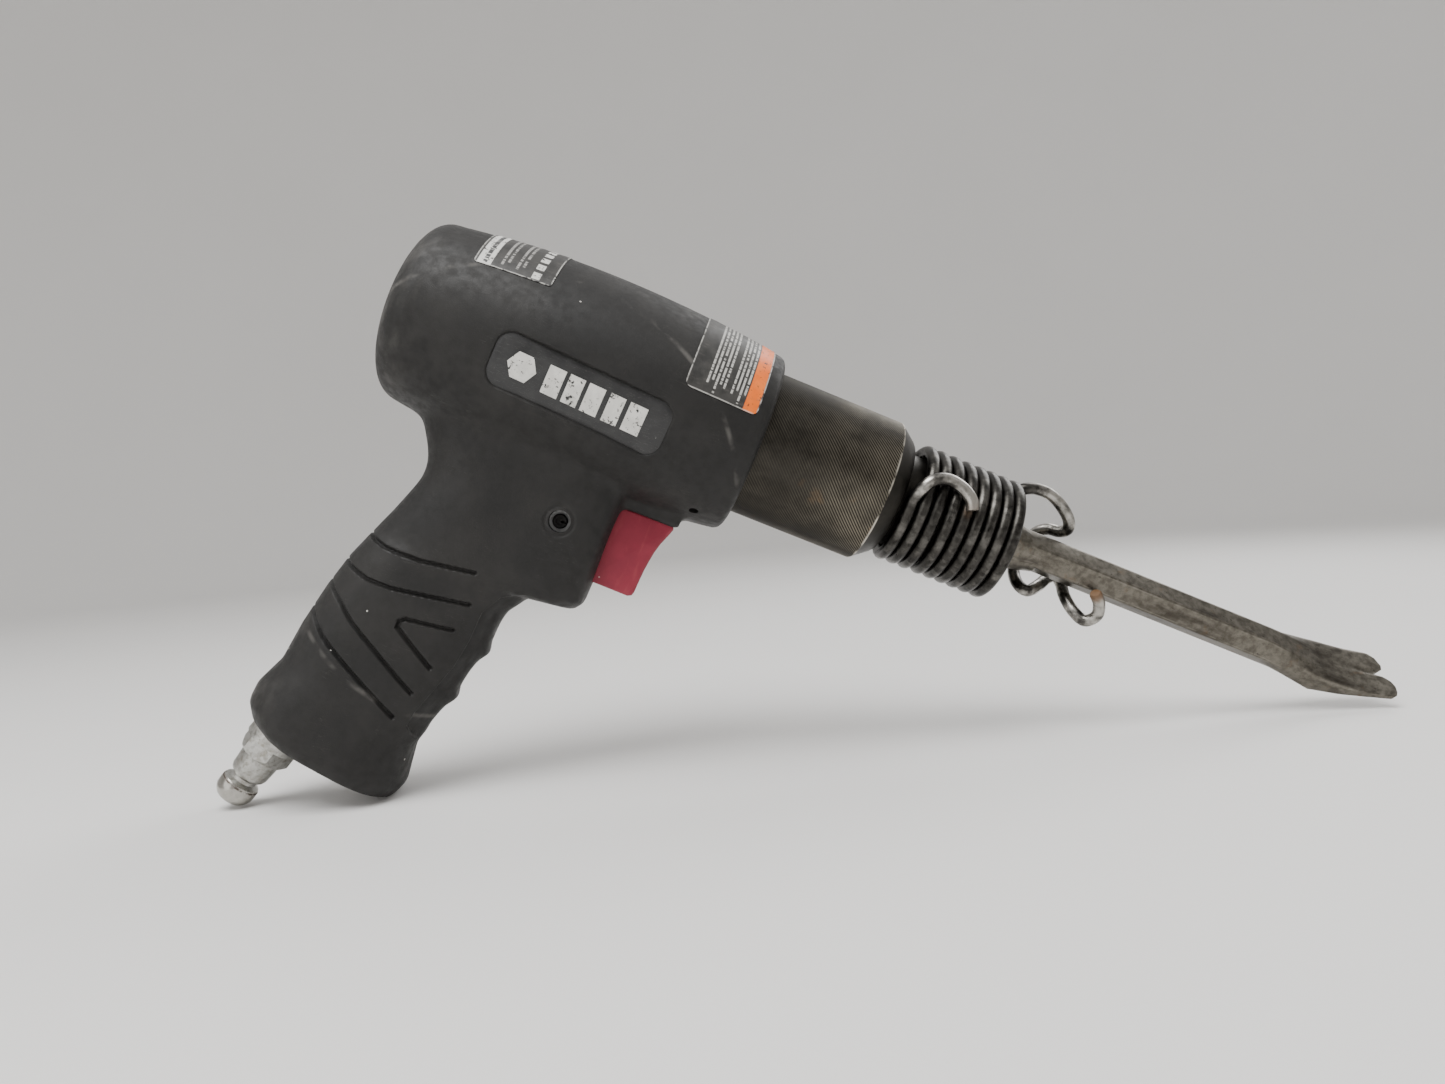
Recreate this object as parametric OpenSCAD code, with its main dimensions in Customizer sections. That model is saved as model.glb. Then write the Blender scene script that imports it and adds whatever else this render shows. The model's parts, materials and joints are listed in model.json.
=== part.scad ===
// Pneumatic air hammer: pistol grip, coil retainer and forked chisel, each piece its own solid.
// Every module draws its piece in the tool's own frame: the origin is on the barrel axis at the
// boot's front rim, +X runs along the barrel to the chisel and the grip hangs towards -Z.
// resting() then tips the whole tool on to its butt and chisel tip, with the floor at z = 0.

/* [Resting pose] */
// Angle by which the barrel points below level when the tool rests on its butt and chisel
nose_down = 25.7; // [25.6:0.05:25.8]

/* [Boot] */
// Largest radius of the boot, over the belly
belly_r = 32.1; // [31.8:0.1:33]
// Radius of the boot at its front rim and at the root of the rear dome
boot_end_r = 28.3; // [28.1:0.1:29]
// Distance from the front rim back to the tip of the rear dome
boot_back = 115.8; // [115:0.2:118]
// Distance by which the boot body hangs below the barrel axis
boot_sag = 1.2; // [1:0.1:1.3]
// Width of the grip at mid height
grip_w = 35; // [34:0.5:38]
// Width of the flared butt
butt_w = 40; // [38:0.5:44]

/* [Housing] */
// Outer radius of the aluminium housing under the boot
housing_r = 25.4; // [25:0.1:25.6]
// Depth of the handle casting, front to back
handle_depth = 38.2; // [37:0.2:38.6]
// Width of the handle casting
handle_w = 26; // [25.6:0.2:27]
// Angle by which the air inlet leans back from the grip's vertical
inlet_lean = 17; // [16.5:0.25:17.5]

/* [Barrel] */
// Outer radius of the knurled barrel sleeve
barrel_r = 22.8; // [22.4:0.1:23]
// Radius of the nose that the retainer turns on
nose_r = 15; // [14.5:0.1:15.1]
// Front end of the nose
nose_end = 79.6; // [78:0.1:79.6]
// Radius of the piston bore
bore_r = 9.5; // [9:0.1:10]
// Radial running clearance of the piston and the chisel shank
running_gap = 0.05; // [0.03:0.01:0.08]

/* [Retainer] */
// Wire diameter of the coil retainer
wire_d = 3.9; // [3.6:0.1:3.9]
// Radius of the coil, to the middle of the wire
coil_r = 17.6; // [17.5:0.1:17.8]
// Distance from one turn to the next
coil_pitch = 4.08; // [4.06:0.01:4.1]
// Extra distance in the gap behind the gripping turns
coil_gap = 0.7; // [0.4:0.1:0.8]

/* [Chisel] */
// Diameter of the round shank
shank_d = 10.19; // [10:0.01:10.3]
// Distance across the flats of the hexagon stock
hex_af = 11.1; // [10.5:0.1:11.4]
// Forward end of the forked blade
chisel_tip = 223.2; // [222:0.1:224.5]
// Width of the forked blade
blade_w = 17; // [16:0.2:18]
// Angle that the hexagon and the blade are turned about the barrel axis
blade_turn = 41; // [38:1:44]

/* [Trigger] */
// Travel of the trigger, along the barrel
trigger_travel = 6; // [4:0.5:6]
// Width of the trigger pad
trigger_w = 14; // [12:0.5:14.5]
// Height of the trigger and throttle bore's axis below the barrel axis
throttle_drop = 44.7; // [44:0.1:45]
// Radius of the throttle bore
throttle_r = 6.15; // [6:0.05:6.3]

/* [Piston and valve] */
// Length of the piston
piston_len = 40; // [36:1:42]
// Radius of the valve block and its cover
valve_r = 17.9; // [17.5:0.1:18.2]

/* [Air plug] */
// Diameter of the plug's locking ball
ball_d = 11.9; // [11.5:0.1:12.2]
// Distance across the flats of the plug's hexagon
plug_af = 14.3; // [13:0.1:14.6]

/* [Hidden] */
$fn = 64;

gap = 0.1;                          // gap left between bedded pieces
boot_front = 1;                     // front rim of the boot
belly_x = -54;                      // where the belly is widest
dome_x = -104;                      // root of the rear dome
housing_front = -2.2;
housing_back = -110;
seat_x = -62;                       // rear end of the barrel, against the valve block
cover_x = -78;                      // joint between valve block and valve cover
bumper_x = -90;                     // joint between valve cover and bumper
chamber_end = -98;                  // end wall of the valve chamber
piston_back = -58;                  // rear face of the piston at rest
shoulder_x = 48;                    // front face of the barrel sleeve
knurl_end = 42;                     // where the sleeve's front chamfer begins
lock_x = -9.5;                      // place of the barrel lock screw
lock_turn = -27;                    // the screw's angle off the underside, towards the right side
inlet_foot = [-101.8, 0, -139];     // the inlet axis where it leaves the butt
exhaust_x = 18.2;                   // exhaust bore, ahead of the inlet axis
core_x = 8;                         // middle of the handle casting, ahead of the inlet axis
core_foot = 15;                     // foot of the casting, above the butt
pin_x = -45.2;                      // the trigger's roll pin
pin_r = 2.25;
trigger_back = -32;
stem_back = -50.5;                  // rear end of the trigger's stem
bushing_x = -58;                    // front face of the throttle bushing
bushing_back = -65;
throttle_end = -82.5;               // blind end of the throttle bore
label_t = 0.25;
badge_floor = 30.2;                 // radius of the floor of the badge recesses

plug_end = -21.7;                   // end of the air plug, below the foot of the inlet axis
plug_end_r = 4.2;
hex_rise = 0.9;                     // the forged bar lies this much above the shank
tip_bend = 8;                       // the blade's front edge is bent up by this much
tip_t = 2;                          // thickness of that edge
prong_low = 7.93;                   // underside of the bent edge where the upper prong ends
lobe_r = 4.6;                       // radius of the fork's rounded prongs
lobe_x = chisel_tip - lobe_r;       // the lower prong; the upper one is worn shorter
worn = 2.6;
lobe_v = 4.2;                       // middle of a prong, off the middle of the blade

// Grip: rings from the body down to the butt, each [back x, back z, front x, front z, width]
grip_rings = [
    [-98, -18, -24, -20, 40], [-94.5, -33, -29.4, -32, 36], [-88, -43, -29.8, -42, 35],
    [-90.4, -52, -29.7, -52, 35], [-93.4, -60, -29.6, -60, 35], [-95.1, -64, -29.8, -65.8, 35],
    [-96.3, -67, -32, -68.8, 35], [-97.5, -70, -46, -70.4, 35], [-100.3, -77, -50.4, -77, 35],
    [-103.4, -88, -51.9, -88, 35], [-106.1, -101, -54.9, -101, 35], [-107.6, -113, -58.6, -114, 36],
    [-111.6, -121.8, -62, -125, 38.5], [-112, -127.2, -61.2, -132.5, 40],
    [-109.3, -131.6, -60.6, -137.6, 39.5], [-104.5, -135, -62.4, -141.2, 36], [-97, -136.8, -68.5, -142.4, 26]];

// Tipping the tool: x and z of a point of the tool's frame once the barrel points down
function tipped_x(x, z) = x * cos(nose_down) + z * sin(nose_down);
function tipped_z(x, z) = z * cos(nose_down) - x * sin(nose_down);
function plug_rim(side) = [
    inlet_foot[0] + plug_end * sin(inlet_lean) - side * plug_end_r * cos(inlet_lean),
    inlet_foot[2] + plug_end * cos(inlet_lean) + side * plug_end_r * sin(inlet_lean)];
rear_x = tipped_x(plug_rim(1)[0], plug_rim(1)[1]);
floor_z = min(tipped_z(plug_rim(-1)[0], plug_rim(-1)[1]), min([for (g = grip_rings) tipped_z(g[2], g[3])]));
front_x = tipped_x(lobe_x - worn, hex_rise + lobe_v * cos(blade_turn) + prong_low * sin(blade_turn))
    + lobe_r * norm([cos(nose_down), sin(nose_down) * cos(blade_turn)]);

module resting() {
    translate([-(rear_x + front_x) / 2, 0, -floor_z]) rotate([0, nose_down, 0]) children();
}

// Shapes shared by the pieces

module along_x(x0, x1, r0, r1 = -1) {
    translate([x0, 0, 0]) rotate([0, 90, 0]) cylinder(h = x1 - x0, r1 = r0, r2 = r1 < 0 ? r0 : r1);
}

module turned(points, from = 0, sweep = 360) {
    rotate([0, 90, 0]) rotate([0, 0, from]) rotate_extrude(angle = sweep) polygon(points);
}

module along_y(x, z, half, r) {
    translate([x, 0, z]) rotate([90, 0, 0]) cylinder(h = 2 * half, r = r, center = true);
}

module seal_ring(x, mid_r, ring_r) {
    translate([x, 0, 0]) rotate([0, 90, 0]) rotate_extrude() translate([mid_r, 0]) circle(ring_r);
}

module handle_frame() translate(inlet_foot) rotate([0, inlet_lean, 0]) children();
module throttle_line() translate([0, 0, -throttle_drop]) children();
module both_sides() for (side = [-1, 1]) translate([0, side, 0]) mirror([0, side > 0 ? 1 : 0, 0]) children();

module slot_2d(length, width) {
    run = length - width;
    square([run, width], center = true);
    for (end = [-0.5, 0.5]) translate([end * run, 0]) circle(d = width);
}

module rounded_2d(length, height, corner) {
    square([length, height - 2 * corner], center = true);
    square([length - 2 * corner, height], center = true);
    for (x = [-0.5, 0.5], y = [-0.5, 0.5])
        translate([x * (length - 2 * corner), y * (height - 2 * corner)]) circle(corner);
}

// Skins and sweeps through rings of points, all rings with the same count
function ring_faces(rings, sides) = concat(
    [[for (i = [0:sides - 1]) i]],
    [for (k = [0:rings - 2], i = [0:sides - 1], half = [0, 1])
        let (a = k * sides + i, b = k * sides + (i + 1) % sides)
        half == 0 ? [a, a + sides, b] : [b, a + sides, b + sides]],
    [[for (i = [sides - 1:-1:0]) (rings - 1) * sides + i]]);

function power(v, p) = sign(v) * pow(abs(v), p);
function unit(v) = v / norm(v);
function across(v, t) = unit(v - t * (v * t));

// Boot body: a superellipse dome, then a parabolic belly, as [radius, x]
function belly(x) = belly_r - (belly_r - boot_end_r) * pow((x - belly_x)
    / (x < belly_x ? belly_x - dome_x : boot_front - belly_x), 2);
function dome_point(a) = [boot_end_r * power(sin(a), 0.8),
    dome_x - (boot_back + dome_x) * power(cos(a), 0.8)];
body_line = concat(
    [for (a = [0:10:80]) dome_point(a)],
    [for (x = [dome_x:10:-14]) [belly(x), x]],
    [for (a = [0:30:90]) [belly(-2) - 3 * (1 - cos(a)), -2 + 3 * sin(a)]]);

grip_sides = 28;
function width_of(w) = w > 36 ? w * butt_w / 40 : w * grip_w / 35;
function grip_ring(g) = let (mid = [g[0] + g[2], 0, g[1] + g[3]] / 2,
    reach = [g[2] - g[0], 0, g[3] - g[1]] / 2)
    [for (i = [0:grip_sides - 1]) let (a = 360 * i / grip_sides)
        mid + reach * power(cos(a), 0.72) - [0, width_of(g[4]) / 2 * power(sin(a), 0.72), 0]];

module grip_solid() {
    polyhedron([for (g = grip_rings) each grip_ring(g)], ring_faces(len(grip_rings), grip_sides));
}

module hung() translate([0, 0, -boot_sag]) children();

module badge_outline(side, length, height) {
    translate([-52.3, side * 20, -8.8]) rotate([90, 3, 0])
        linear_extrude(30, center = true) rounded_2d(length, height, 5);
}

// Outline of the casting, drawn larger by "grow" for the boot's inside
module casting(grow = 0) {
    along_x(dome_x, housing_front + grow, housing_r + grow);
    along_x(housing_back - grow, dome_x, 19 + grow, housing_r + grow);
    handle_frame() translate([core_x, 0, core_foot - grow])
        linear_extrude(112 + grow) slot_2d(handle_depth + 2 * grow, handle_w + 2 * grow);
    translate([-83 - grow, -12 - grow, -62 - grow]) cube([43 + 2 * grow, 24 + 2 * grow, 50]);
    translate([-41, -9 - grow, -62 - grow]) cube([6 + grow, 18 + 2 * grow, 50]);
}

module trigger_pocket() {
    translate([-38.6, -trigger_w / 2 - 0.6, -59.1]) cube([28, trigger_w + 1.2, 25.8]);
}

module rubber_boot() color("#2b2a29") difference() {
    union() {
        hung() turned(concat(body_line, [[0, boot_front]]));
        grip_solid();
        translate([-37, -8.2, -34.4]) cube([25.5, 16.4, 9]);
    }
    casting(gap);
    along_x(housing_front - 1, boot_front + 1, barrel_r + 0.2);
    trigger_pocket();
    along_y(pin_x, -throttle_drop, 30, 3.3);
    rotate([lock_turn, 0, 0]) translate([lock_x, 0, -40]) cylinder(h = 20, r = 1.5);
    handle_frame() translate([0, 0, -10]) cylinder(h = 30, r = 8.5 + gap);
    handle_frame() translate([exhaust_x, 0, -14]) cylinder(h = 32, r = 7 + gap);
    for (side = [-1, 1]) difference() {
        badge_outline(side, 54, 17);
        hung() along_x(-90, -10, badge_floor);
    }
}

module housing() color("#a9acad") difference() {
    casting();
    along_x(seat_x, 0, 21);
    along_x(chamber_end, seat_x + 1, valve_r + gap);
    throttle_line() along_x(throttle_end, -30, throttle_r);
    trigger_pocket();
    along_y(pin_x, -throttle_drop, 30, pin_r);
    rotate([lock_turn, 0, 0]) translate([lock_x, 0, -40]) cylinder(h = 22, r = 2.5);
    handle_frame() translate([0, 0, -10]) cylinder(h = 34.5, r = 8.5 + gap / 2);
    handle_frame() cylinder(h = 96, r = 4);
    handle_frame() translate([exhaust_x, 0, 0]) cylinder(h = 85, r = 6.5);
    along_y(-60, -64, 9.6, 1.7);
    for (side = [-1, 1]) translate([-60, side * 9.6, -67]) cylinder(h = 51, r = 2.1);
    translate([-55, 0, -throttle_drop]) rotate([0, -28, 0]) cylinder(h = 32, r = 2.8);
}

module barrel() color("#4a4642") difference() {
    union() {
        along_x(seat_x + gap, 1, 20.9);
        along_x(0.5, knurl_end, barrel_r);
        along_x(knurl_end, shoulder_x, barrel_r, 18.4);
        along_x(shoulder_x - 1, nose_end, nose_r);
    }
    along_x(seat_x - 1, nose_end + 1, bore_r);
    difference() {
        along_x(-16, -13, 22);
        along_x(-17, -12, 19.4);
    }
    rotate([lock_turn, 0, 0]) translate([lock_x, 0, -24]) cylinder(h = 4.6, r = 1.9);
}

module barrel_seal() color("#1c1c1c") seal_ring(-14.5, 20.2, 0.75);

module barrel_lock_screw() color("#3d3d3f") rotate([lock_turn, 0, 0]) translate([lock_x, 0, 0])
    difference() {
        union() {
            translate([0, 0, -25.2]) cylinder(h = 4, r = 2.4);
            translate([0, 0, -21.6]) cylinder(h = 1.8, r = 1.7);
        }
        translate([0, 0, -26]) cylinder(h = 2.8, d = 2.9, $fn = 6);
    }

module chisel_bushing() color("#8d8f90") difference() {
    along_x(46, nose_end - 0.1, bore_r - 0.02);
    along_x(45, nose_end + 1, shank_d / 2 + running_gap);
}

// Valve gear, behind the barrel
module valve_block() color("#9a9c9e") difference() {
    along_x(cover_x + gap, seat_x - gap, valve_r);
    along_x(-72, seat_x + 1, 7);
    along_x(cover_x - 1, -71, 3);
    for (a = [45:90:315]) rotate([a, 0, 0]) translate([0, 0, 12.5]) along_x(cover_x - 1, seat_x + 1, 1.5);
    translate([0, 13.5, 0]) along_x(cover_x - 1, -70, 1.5);
    difference() {
        along_x(-68, -65, 19);
        along_x(-69, -64, 15.6);
    }
}

module valve_cover() color("#85888a") difference() {
    along_x(bumper_x + gap, cover_x, valve_r);
    along_x(-82.4, cover_x + 1, 10.5);
    along_x(-86, -82, 4);
    translate([0, 13.5, 0]) along_x(-86, cover_x + 1, 1.5);
}

module cycle_valve() color("#c7b37a") difference() {
    along_x(-82.2, -79.8, 10.3);
    along_x(-83, -79, 2);
    for (a = [0:60:300]) rotate([a, 0, 0]) translate([0, 0, 7.4]) along_x(-83, -79, 1.1);
}

module valve_dowel() color("#6f7173") translate([0, 13.5, 0]) along_x(-85.5, -70.5, 1.48);

module rear_bumper() color("#262626") difference() {
    along_x(chamber_end + gap, bumper_x, valve_r - 0.4);
    along_x(-93, bumper_x + 1, 8);
}

module piston() color("#b4b6b8") {
    slim = bore_r - running_gap;
    front = piston_back + piston_len;
    along_x(piston_back + 1.5, front - 1.5, slim);
    along_x(piston_back, piston_back + 1.5, slim - 1.2, slim);
    along_x(front - 1.5, front, slim, slim - 1.2);
}

// Coil retainer: a tail to turn it by, the coil, then the wire's bends round the chisel
coil_x = 50.6;
coil_turns = 8.72;
turn_steps = 18;
tail_points = [[67.8, -21.4, 3.4], [66.4, -21.1, 6.3], [63, -20.3, 8.6], [58.5, -19.6, 9.5], [54.8, -19.9, 8.2],
    [52.2, -20.1, 5.4]];
loop_points = [[88, 0.4, 18.7], [91.5, 1, 20.1], [95.9, 0.6, 20.1], [100.5, 0.6, 18.4], [105, 1.5, 15.4],
    [107, 3, 12.4], [105.4, 5, 10.7], [102.1, 7.4, 10.2], [99.4, 9.4, 7.4], [98, 10.4, 1], [97, 9.2, -5.2],
    [98, 4.4, -9.9], [100.9, 1, -11.4], [104.8, 3.8, -8.4], [108.2, 7.6, -4.8], [111, 8.9, -2.8],
    [113.4, 7.6, -4.8], [114.6, 4, -8.4], [117.6, 0.8, -11.9], [121.4, -1.6, -13.6], [123.6, -3.8, -10.8],
    [121.8, -6.2, -7.2], [118.4, -8.2, -4.6]];
function ease(u) = let (c = min(max(u, 0), 1)) c * c * (3 - 2 * c);
function coil_at(turn) = [coil_x + coil_pitch * turn + coil_gap * ease(turn - 2.4),
    -coil_r * cos(360 * turn), -coil_r * sin(360 * turn)];
function spline(a, b, c, d, u) = 0.5 * (2 * b + (c - a) * u + (2 * a - 5 * b + 4 * c - d) * u * u
    + (3 * b - a - 3 * c + d) * u * u * u);
function curve(p, steps) = [for (k = [1:len(p) - 3], s = [0:steps - 1])
    spline(p[k - 1], p[k], p[k + 1], p[k + 2], s / steps)];
tail_part = curve(concat([2 * tail_points[0] - tail_points[1]], tail_points,
    [coil_at(0), coil_at(0.06)]), 3);
coil_part = [for (k = [0:floor(coil_turns * turn_steps)]) coil_at(k / turn_steps)];
loop_part = curve(concat([coil_at(coil_turns - 0.08), coil_at(coil_turns + 0.012)], loop_points,
    [2 * loop_points[22] - loop_points[21]]), 2);
wire = concat(tail_part, coil_part, loop_part, [loop_points[22]]);

function heading(p, i) = unit(p[min(i + 1, len(p) - 1)] - p[max(i - 1, 0)]);
module swept(p, r, sides) {
    rings = [for (i = 0, n = across([0, 0, 1], heading(p, 0)); i < len(p);
        i = i + 1, n = across(n, heading(p, min(i, len(p) - 1))))
        let (side = cross(heading(p, i), n))
        for (k = [0:sides - 1]) p[i] + r * (cos(360 * k / sides) * n - sin(360 * k / sides) * side)];
    polyhedron(rings, ring_faces(len(p), sides));
}

module retainer_spring() color("#55524e") swept(wire, wire_d / 2, 8);

// Chisel: round shank, collar, hexagon stock and a forked blade, turned about the barrel axis
module blade_frame() translate([0, 0, hex_rise]) rotate([-blade_turn, 0, 0]) children();

module blade_slice(back, bend, width, thick) {
    translate([chisel_tip - back, -bend, 0]) cube([0.2, thick, width], center = true);
}

// Outline of the fork, seen square to the blade
module fork_2d() {
    polygon([[100, -10], [lobe_x, -lobe_v - lobe_r], [lobe_x, -lobe_v], [lobe_x - worn, lobe_v],
        [lobe_x - worn, lobe_v + lobe_r], [100, 10]]);
    translate([lobe_x, -lobe_v]) circle(lobe_r);
    translate([lobe_x - worn, lobe_v]) circle(lobe_r);
}

module bar(x0, x1) translate([x0, 0, 0]) rotate([0, 90, 0]) cylinder(h = x1 - x0, d = hex_af / cos(30), $fn = 6);

module chisel() color("#7c756a") {
    along_x(38.5, 80.2, shank_d / 2);
    along_x(80, 88, 9.3);
    along_x(88, 99, 8.2, 5.4);
    blade_frame() {
        bar(87, 184);
        intersection() {
            union() {
                hull() {
                    bar(182, 183);
                    blade_slice(23.3, -0.3, blade_w - 0.6, 8);
                }
                hull() {
                    blade_slice(23.3, -0.3, blade_w - 0.6, 8);
                    blade_slice(14.3, 2, blade_w, 5.2);
                    blade_slice(7.3, 4.7, blade_w, 3.2);
                }
                hull() {
                    blade_slice(7.3, 4.7, blade_w, 3.2);
                    blade_slice(0, tip_bend, blade_w, tip_t);
                }
            }
            rotate([90, 0, 0]) linear_extrude(40, center = true) fork_2d();
        }
    }
}

// Trigger and throttle
module trigger() color("#9c2f3c") {
    rotate([90, 0, 0]) linear_extrude(trigger_w, center = true)
        polygon([[trigger_back, -34.3], [-13.9, -33.6], [-12.5, -34.6], [-14.7, -40], [-16, -46],
            [-16.6, -52], [-16.8, -57.2], [-18.4, -58.8], [trigger_back, -58.6]]);
    throttle_line() difference() {
        along_x(stem_back, trigger_back + 1, throttle_r - gap);
        hull() for (x = [0, trigger_travel]) along_y(pin_x + x, 0, 10, pin_r + 0.2);
    }
}

module trigger_pin() color("#8a8a88") difference() {
    along_y(pin_x, -throttle_drop, 14.5, pin_r);
    along_y(pin_x, -throttle_drop, 15, 1.4);
    translate([pin_x, -15, -throttle_drop - 0.3]) cube([4, 30, 0.6]);
}

module throttle_bushing() color("#b89a55") throttle_line() difference() {
    along_x(bushing_back, bushing_x, throttle_r - 0.02);
    along_x(bushing_back - 1, bushing_x + 1, 2.05);
    difference() {
        along_x(-62.4, -60.6, 7);
        along_x(-63, -60, 4.9);
    }
}

module bushing_seal() color("#1c1c1c") throttle_line() seal_ring(-61.5, 5.5, 0.58);

module throttle_stem() color("#c0c2c4") throttle_line() {
    along_x(-68.6, stem_back - 0.1, 2);
    along_x(-69.8, -67, 4.6);
    along_x(-72.5, -69, 2.2);
}

module throttle_seal() color("#1c1c1c") throttle_line() seal_ring(-66, 2.95, 0.85);

module throttle_spring() color("#9b9b9b") throttle_line() {
    turns = 5;
    steps = 14;
    run = throttle_end + 0.6 + 70.4;
    swept([for (k = [0:turns * steps]) [-70.4 + run * k / (turns * steps),
        3.6 * cos(360 * k / steps), 3.6 * sin(360 * k / steps)]], 0.45, 6);
}

// Air inlet and exhaust, in the frame of the leaning inlet axis
module inlet_bushing() color("#8b8d8f") handle_frame() difference() {
    translate([0, 0, -0.6]) cylinder(h = 25, r = 8.5);
    translate([0, 0, -1]) cylinder(h = 14, r = 6.6);
    translate([0, 0, 10]) cylinder(h = 18, r = 5);
}

module inlet_screen() color("#b9b5a8") handle_frame() difference() {
    translate([0, 0, 14]) cylinder(h = 10, r = 4.9);
    translate([0, 0, 13]) cylinder(h = 10, r = 4.1);
}

module air_plug() color("#8e8b84") handle_frame() difference() {
    union() {
        translate([0, 0, -1]) cylinder(h = 12, r = 6.55);
        rotate([0, 0, 22]) translate([0, 0, -5.6]) cylinder(h = 4.9, d = plug_af / cos(30), $fn = 6);
        translate([0, 0, -11.8]) cylinder(h = 6.4, r1 = 5.7, r2 = 6.2);
        translate([0, 0, -13.2]) cylinder(h = 1.5, r1 = 4.9, r2 = 5.7);
        translate([0, 0, -15]) cylinder(h = 4, r = 3.95);
        translate([0, 0, -15.8]) cylinder(h = 1.4, r1 = ball_d / 2, r2 = 4);
        translate([0, 0, -19]) cylinder(h = 3.2, d = ball_d);
        translate([0, 0, plug_end]) cylinder(h = 2.7, r1 = plug_end_r, r2 = ball_d / 2);
    }
    translate([0, 0, -23]) cylinder(h = 36, r = 3);
}

module exhaust_diffuser() color("#6d6f70") handle_frame() translate([exhaust_x, 0, 0]) difference() {
    union() {
        translate([0, 0, 4.8]) cylinder(h = 6, r = 6.9);
        translate([0, 0, 5]) cylinder(h = 12, r = 6.4);
    }
    translate([0, 0, 7]) cylinder(h = 12, r = 5);
    for (a = [0:60:300]) rotate([0, 0, a]) translate([3.4, 0, 3]) cylinder(h = 6, r = 1);
}

module muffler_pad() color("#8f8b80") handle_frame() translate([exhaust_x, 0, 17.5]) cylinder(h = 30, r = 6.4);

// Badges in the side recesses and labels over the top
module badge(side) color("#232323") intersection() {
    badge_outline(side, 53.6, 16.6);
    hung() difference() {
        along_x(-90, -10, badge_floor + 0.6);
        along_x(-91, -9, badge_floor + 0.05);
    }
}

module badge_right() badge(-1);
module badge_left() badge(1);

module wrap_label(x0, x1, half_angle) {
    inner = [for (k = [0:4]) let (x = x0 + (x1 - x0) * k / 4) [belly(x) + 0.04, x]];
    outer = [for (k = [4:-1:0]) inner[k] + [label_t, 0]];
    hung() turned(concat(inner, outer), 180 - half_angle, 2 * half_angle);
}

module data_label() color("#1d1d1d") wrap_label(-94, -71, 56);
module warning_label() color("#c96a2c") wrap_label(-26, -3.5, 79);

resting() rubber_boot();
resting() housing();
resting() barrel();
resting() barrel_seal();
resting() barrel_lock_screw();
resting() chisel_bushing();
resting() valve_block();
resting() valve_cover();
resting() valve_dowel();
resting() cycle_valve();
resting() rear_bumper();
resting() piston();
resting() retainer_spring();
resting() chisel();
resting() trigger();
resting() trigger_pin();
resting() throttle_bushing();
resting() bushing_seal();
resting() throttle_stem();
resting() throttle_seal();
resting() throttle_spring();
resting() inlet_bushing();
resting() inlet_screen();
resting() air_plug();
resting() exhaust_diffuser();
resting() muffler_pad();
resting() badge_right();
resting() badge_left();
resting() data_label();
resting() warning_label();
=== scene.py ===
import bmesh
import bpy
import json
import math
import numpy as np
from mathutils import Matrix, Vector
from mathutils.bvhtree import BVHTree


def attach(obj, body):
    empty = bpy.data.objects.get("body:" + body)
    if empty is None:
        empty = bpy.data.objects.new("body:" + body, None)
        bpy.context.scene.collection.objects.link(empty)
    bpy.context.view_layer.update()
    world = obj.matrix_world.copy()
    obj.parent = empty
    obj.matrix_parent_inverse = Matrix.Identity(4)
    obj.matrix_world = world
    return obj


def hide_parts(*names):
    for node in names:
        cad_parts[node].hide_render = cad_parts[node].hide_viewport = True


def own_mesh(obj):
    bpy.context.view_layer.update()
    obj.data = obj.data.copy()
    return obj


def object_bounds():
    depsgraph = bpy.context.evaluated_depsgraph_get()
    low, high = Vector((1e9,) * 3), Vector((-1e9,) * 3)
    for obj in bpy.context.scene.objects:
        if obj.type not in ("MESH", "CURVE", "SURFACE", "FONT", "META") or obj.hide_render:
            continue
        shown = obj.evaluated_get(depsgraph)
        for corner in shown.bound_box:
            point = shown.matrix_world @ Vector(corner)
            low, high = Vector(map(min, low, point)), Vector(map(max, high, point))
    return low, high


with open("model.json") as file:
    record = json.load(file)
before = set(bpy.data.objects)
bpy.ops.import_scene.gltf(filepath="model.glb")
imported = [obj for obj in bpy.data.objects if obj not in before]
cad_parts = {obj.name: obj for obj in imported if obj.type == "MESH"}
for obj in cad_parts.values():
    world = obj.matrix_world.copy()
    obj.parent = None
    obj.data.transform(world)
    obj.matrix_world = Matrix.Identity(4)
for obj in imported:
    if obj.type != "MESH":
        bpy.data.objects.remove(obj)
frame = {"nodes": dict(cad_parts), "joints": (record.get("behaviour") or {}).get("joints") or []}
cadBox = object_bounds()
print("frame loaded,", len(frame["nodes"]), "nodes")

# The tool's own frame, in millimetres: the origin is on the barrel axis at the boot's front rim,
# x runs along the barrel to the chisel and the grip hangs towards -z. Pieces are drawn in it.
turnJoint = next(j for j in frame["joints"] if j["name"] == "retainer_turn")
axisX = Vector(turnJoint["axis"]).normalized()
axisY = Vector((0, 1, 0))
axisZ = axisX.cross(axisY)
toolTurn = Matrix((axisX, axisY, axisZ)).transposed().to_4x4()
toolPlace = Matrix.Translation(turnJoint["pos_m"]) @ toolTurn @ Matrix.Scale(0.001, 4)
toolBack = toolPlace.inverted()

inlet = {"foot": (-101.8, 0, -139), "lean": 17, "exhaustX": 18.2}
inletPlace = Matrix.Translation(inlet["foot"]) @ Matrix.Rotation(math.radians(inlet["lean"]), 4, "Y")
lockScrew = {"x": -9.5, "turn": -27}
lockPlace = Matrix.Rotation(math.radians(lockScrew["turn"]), 4, "X") @ Matrix.Translation((lockScrew["x"], 0, 0))


def smoothStep(value):
    held = np.clip(value, 0, 1)
    return held * held * (3 - 2 * held)


def signedPower(value, power):
    return math.copysign(abs(value) ** power, value)


# Shapes in bmesh

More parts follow.
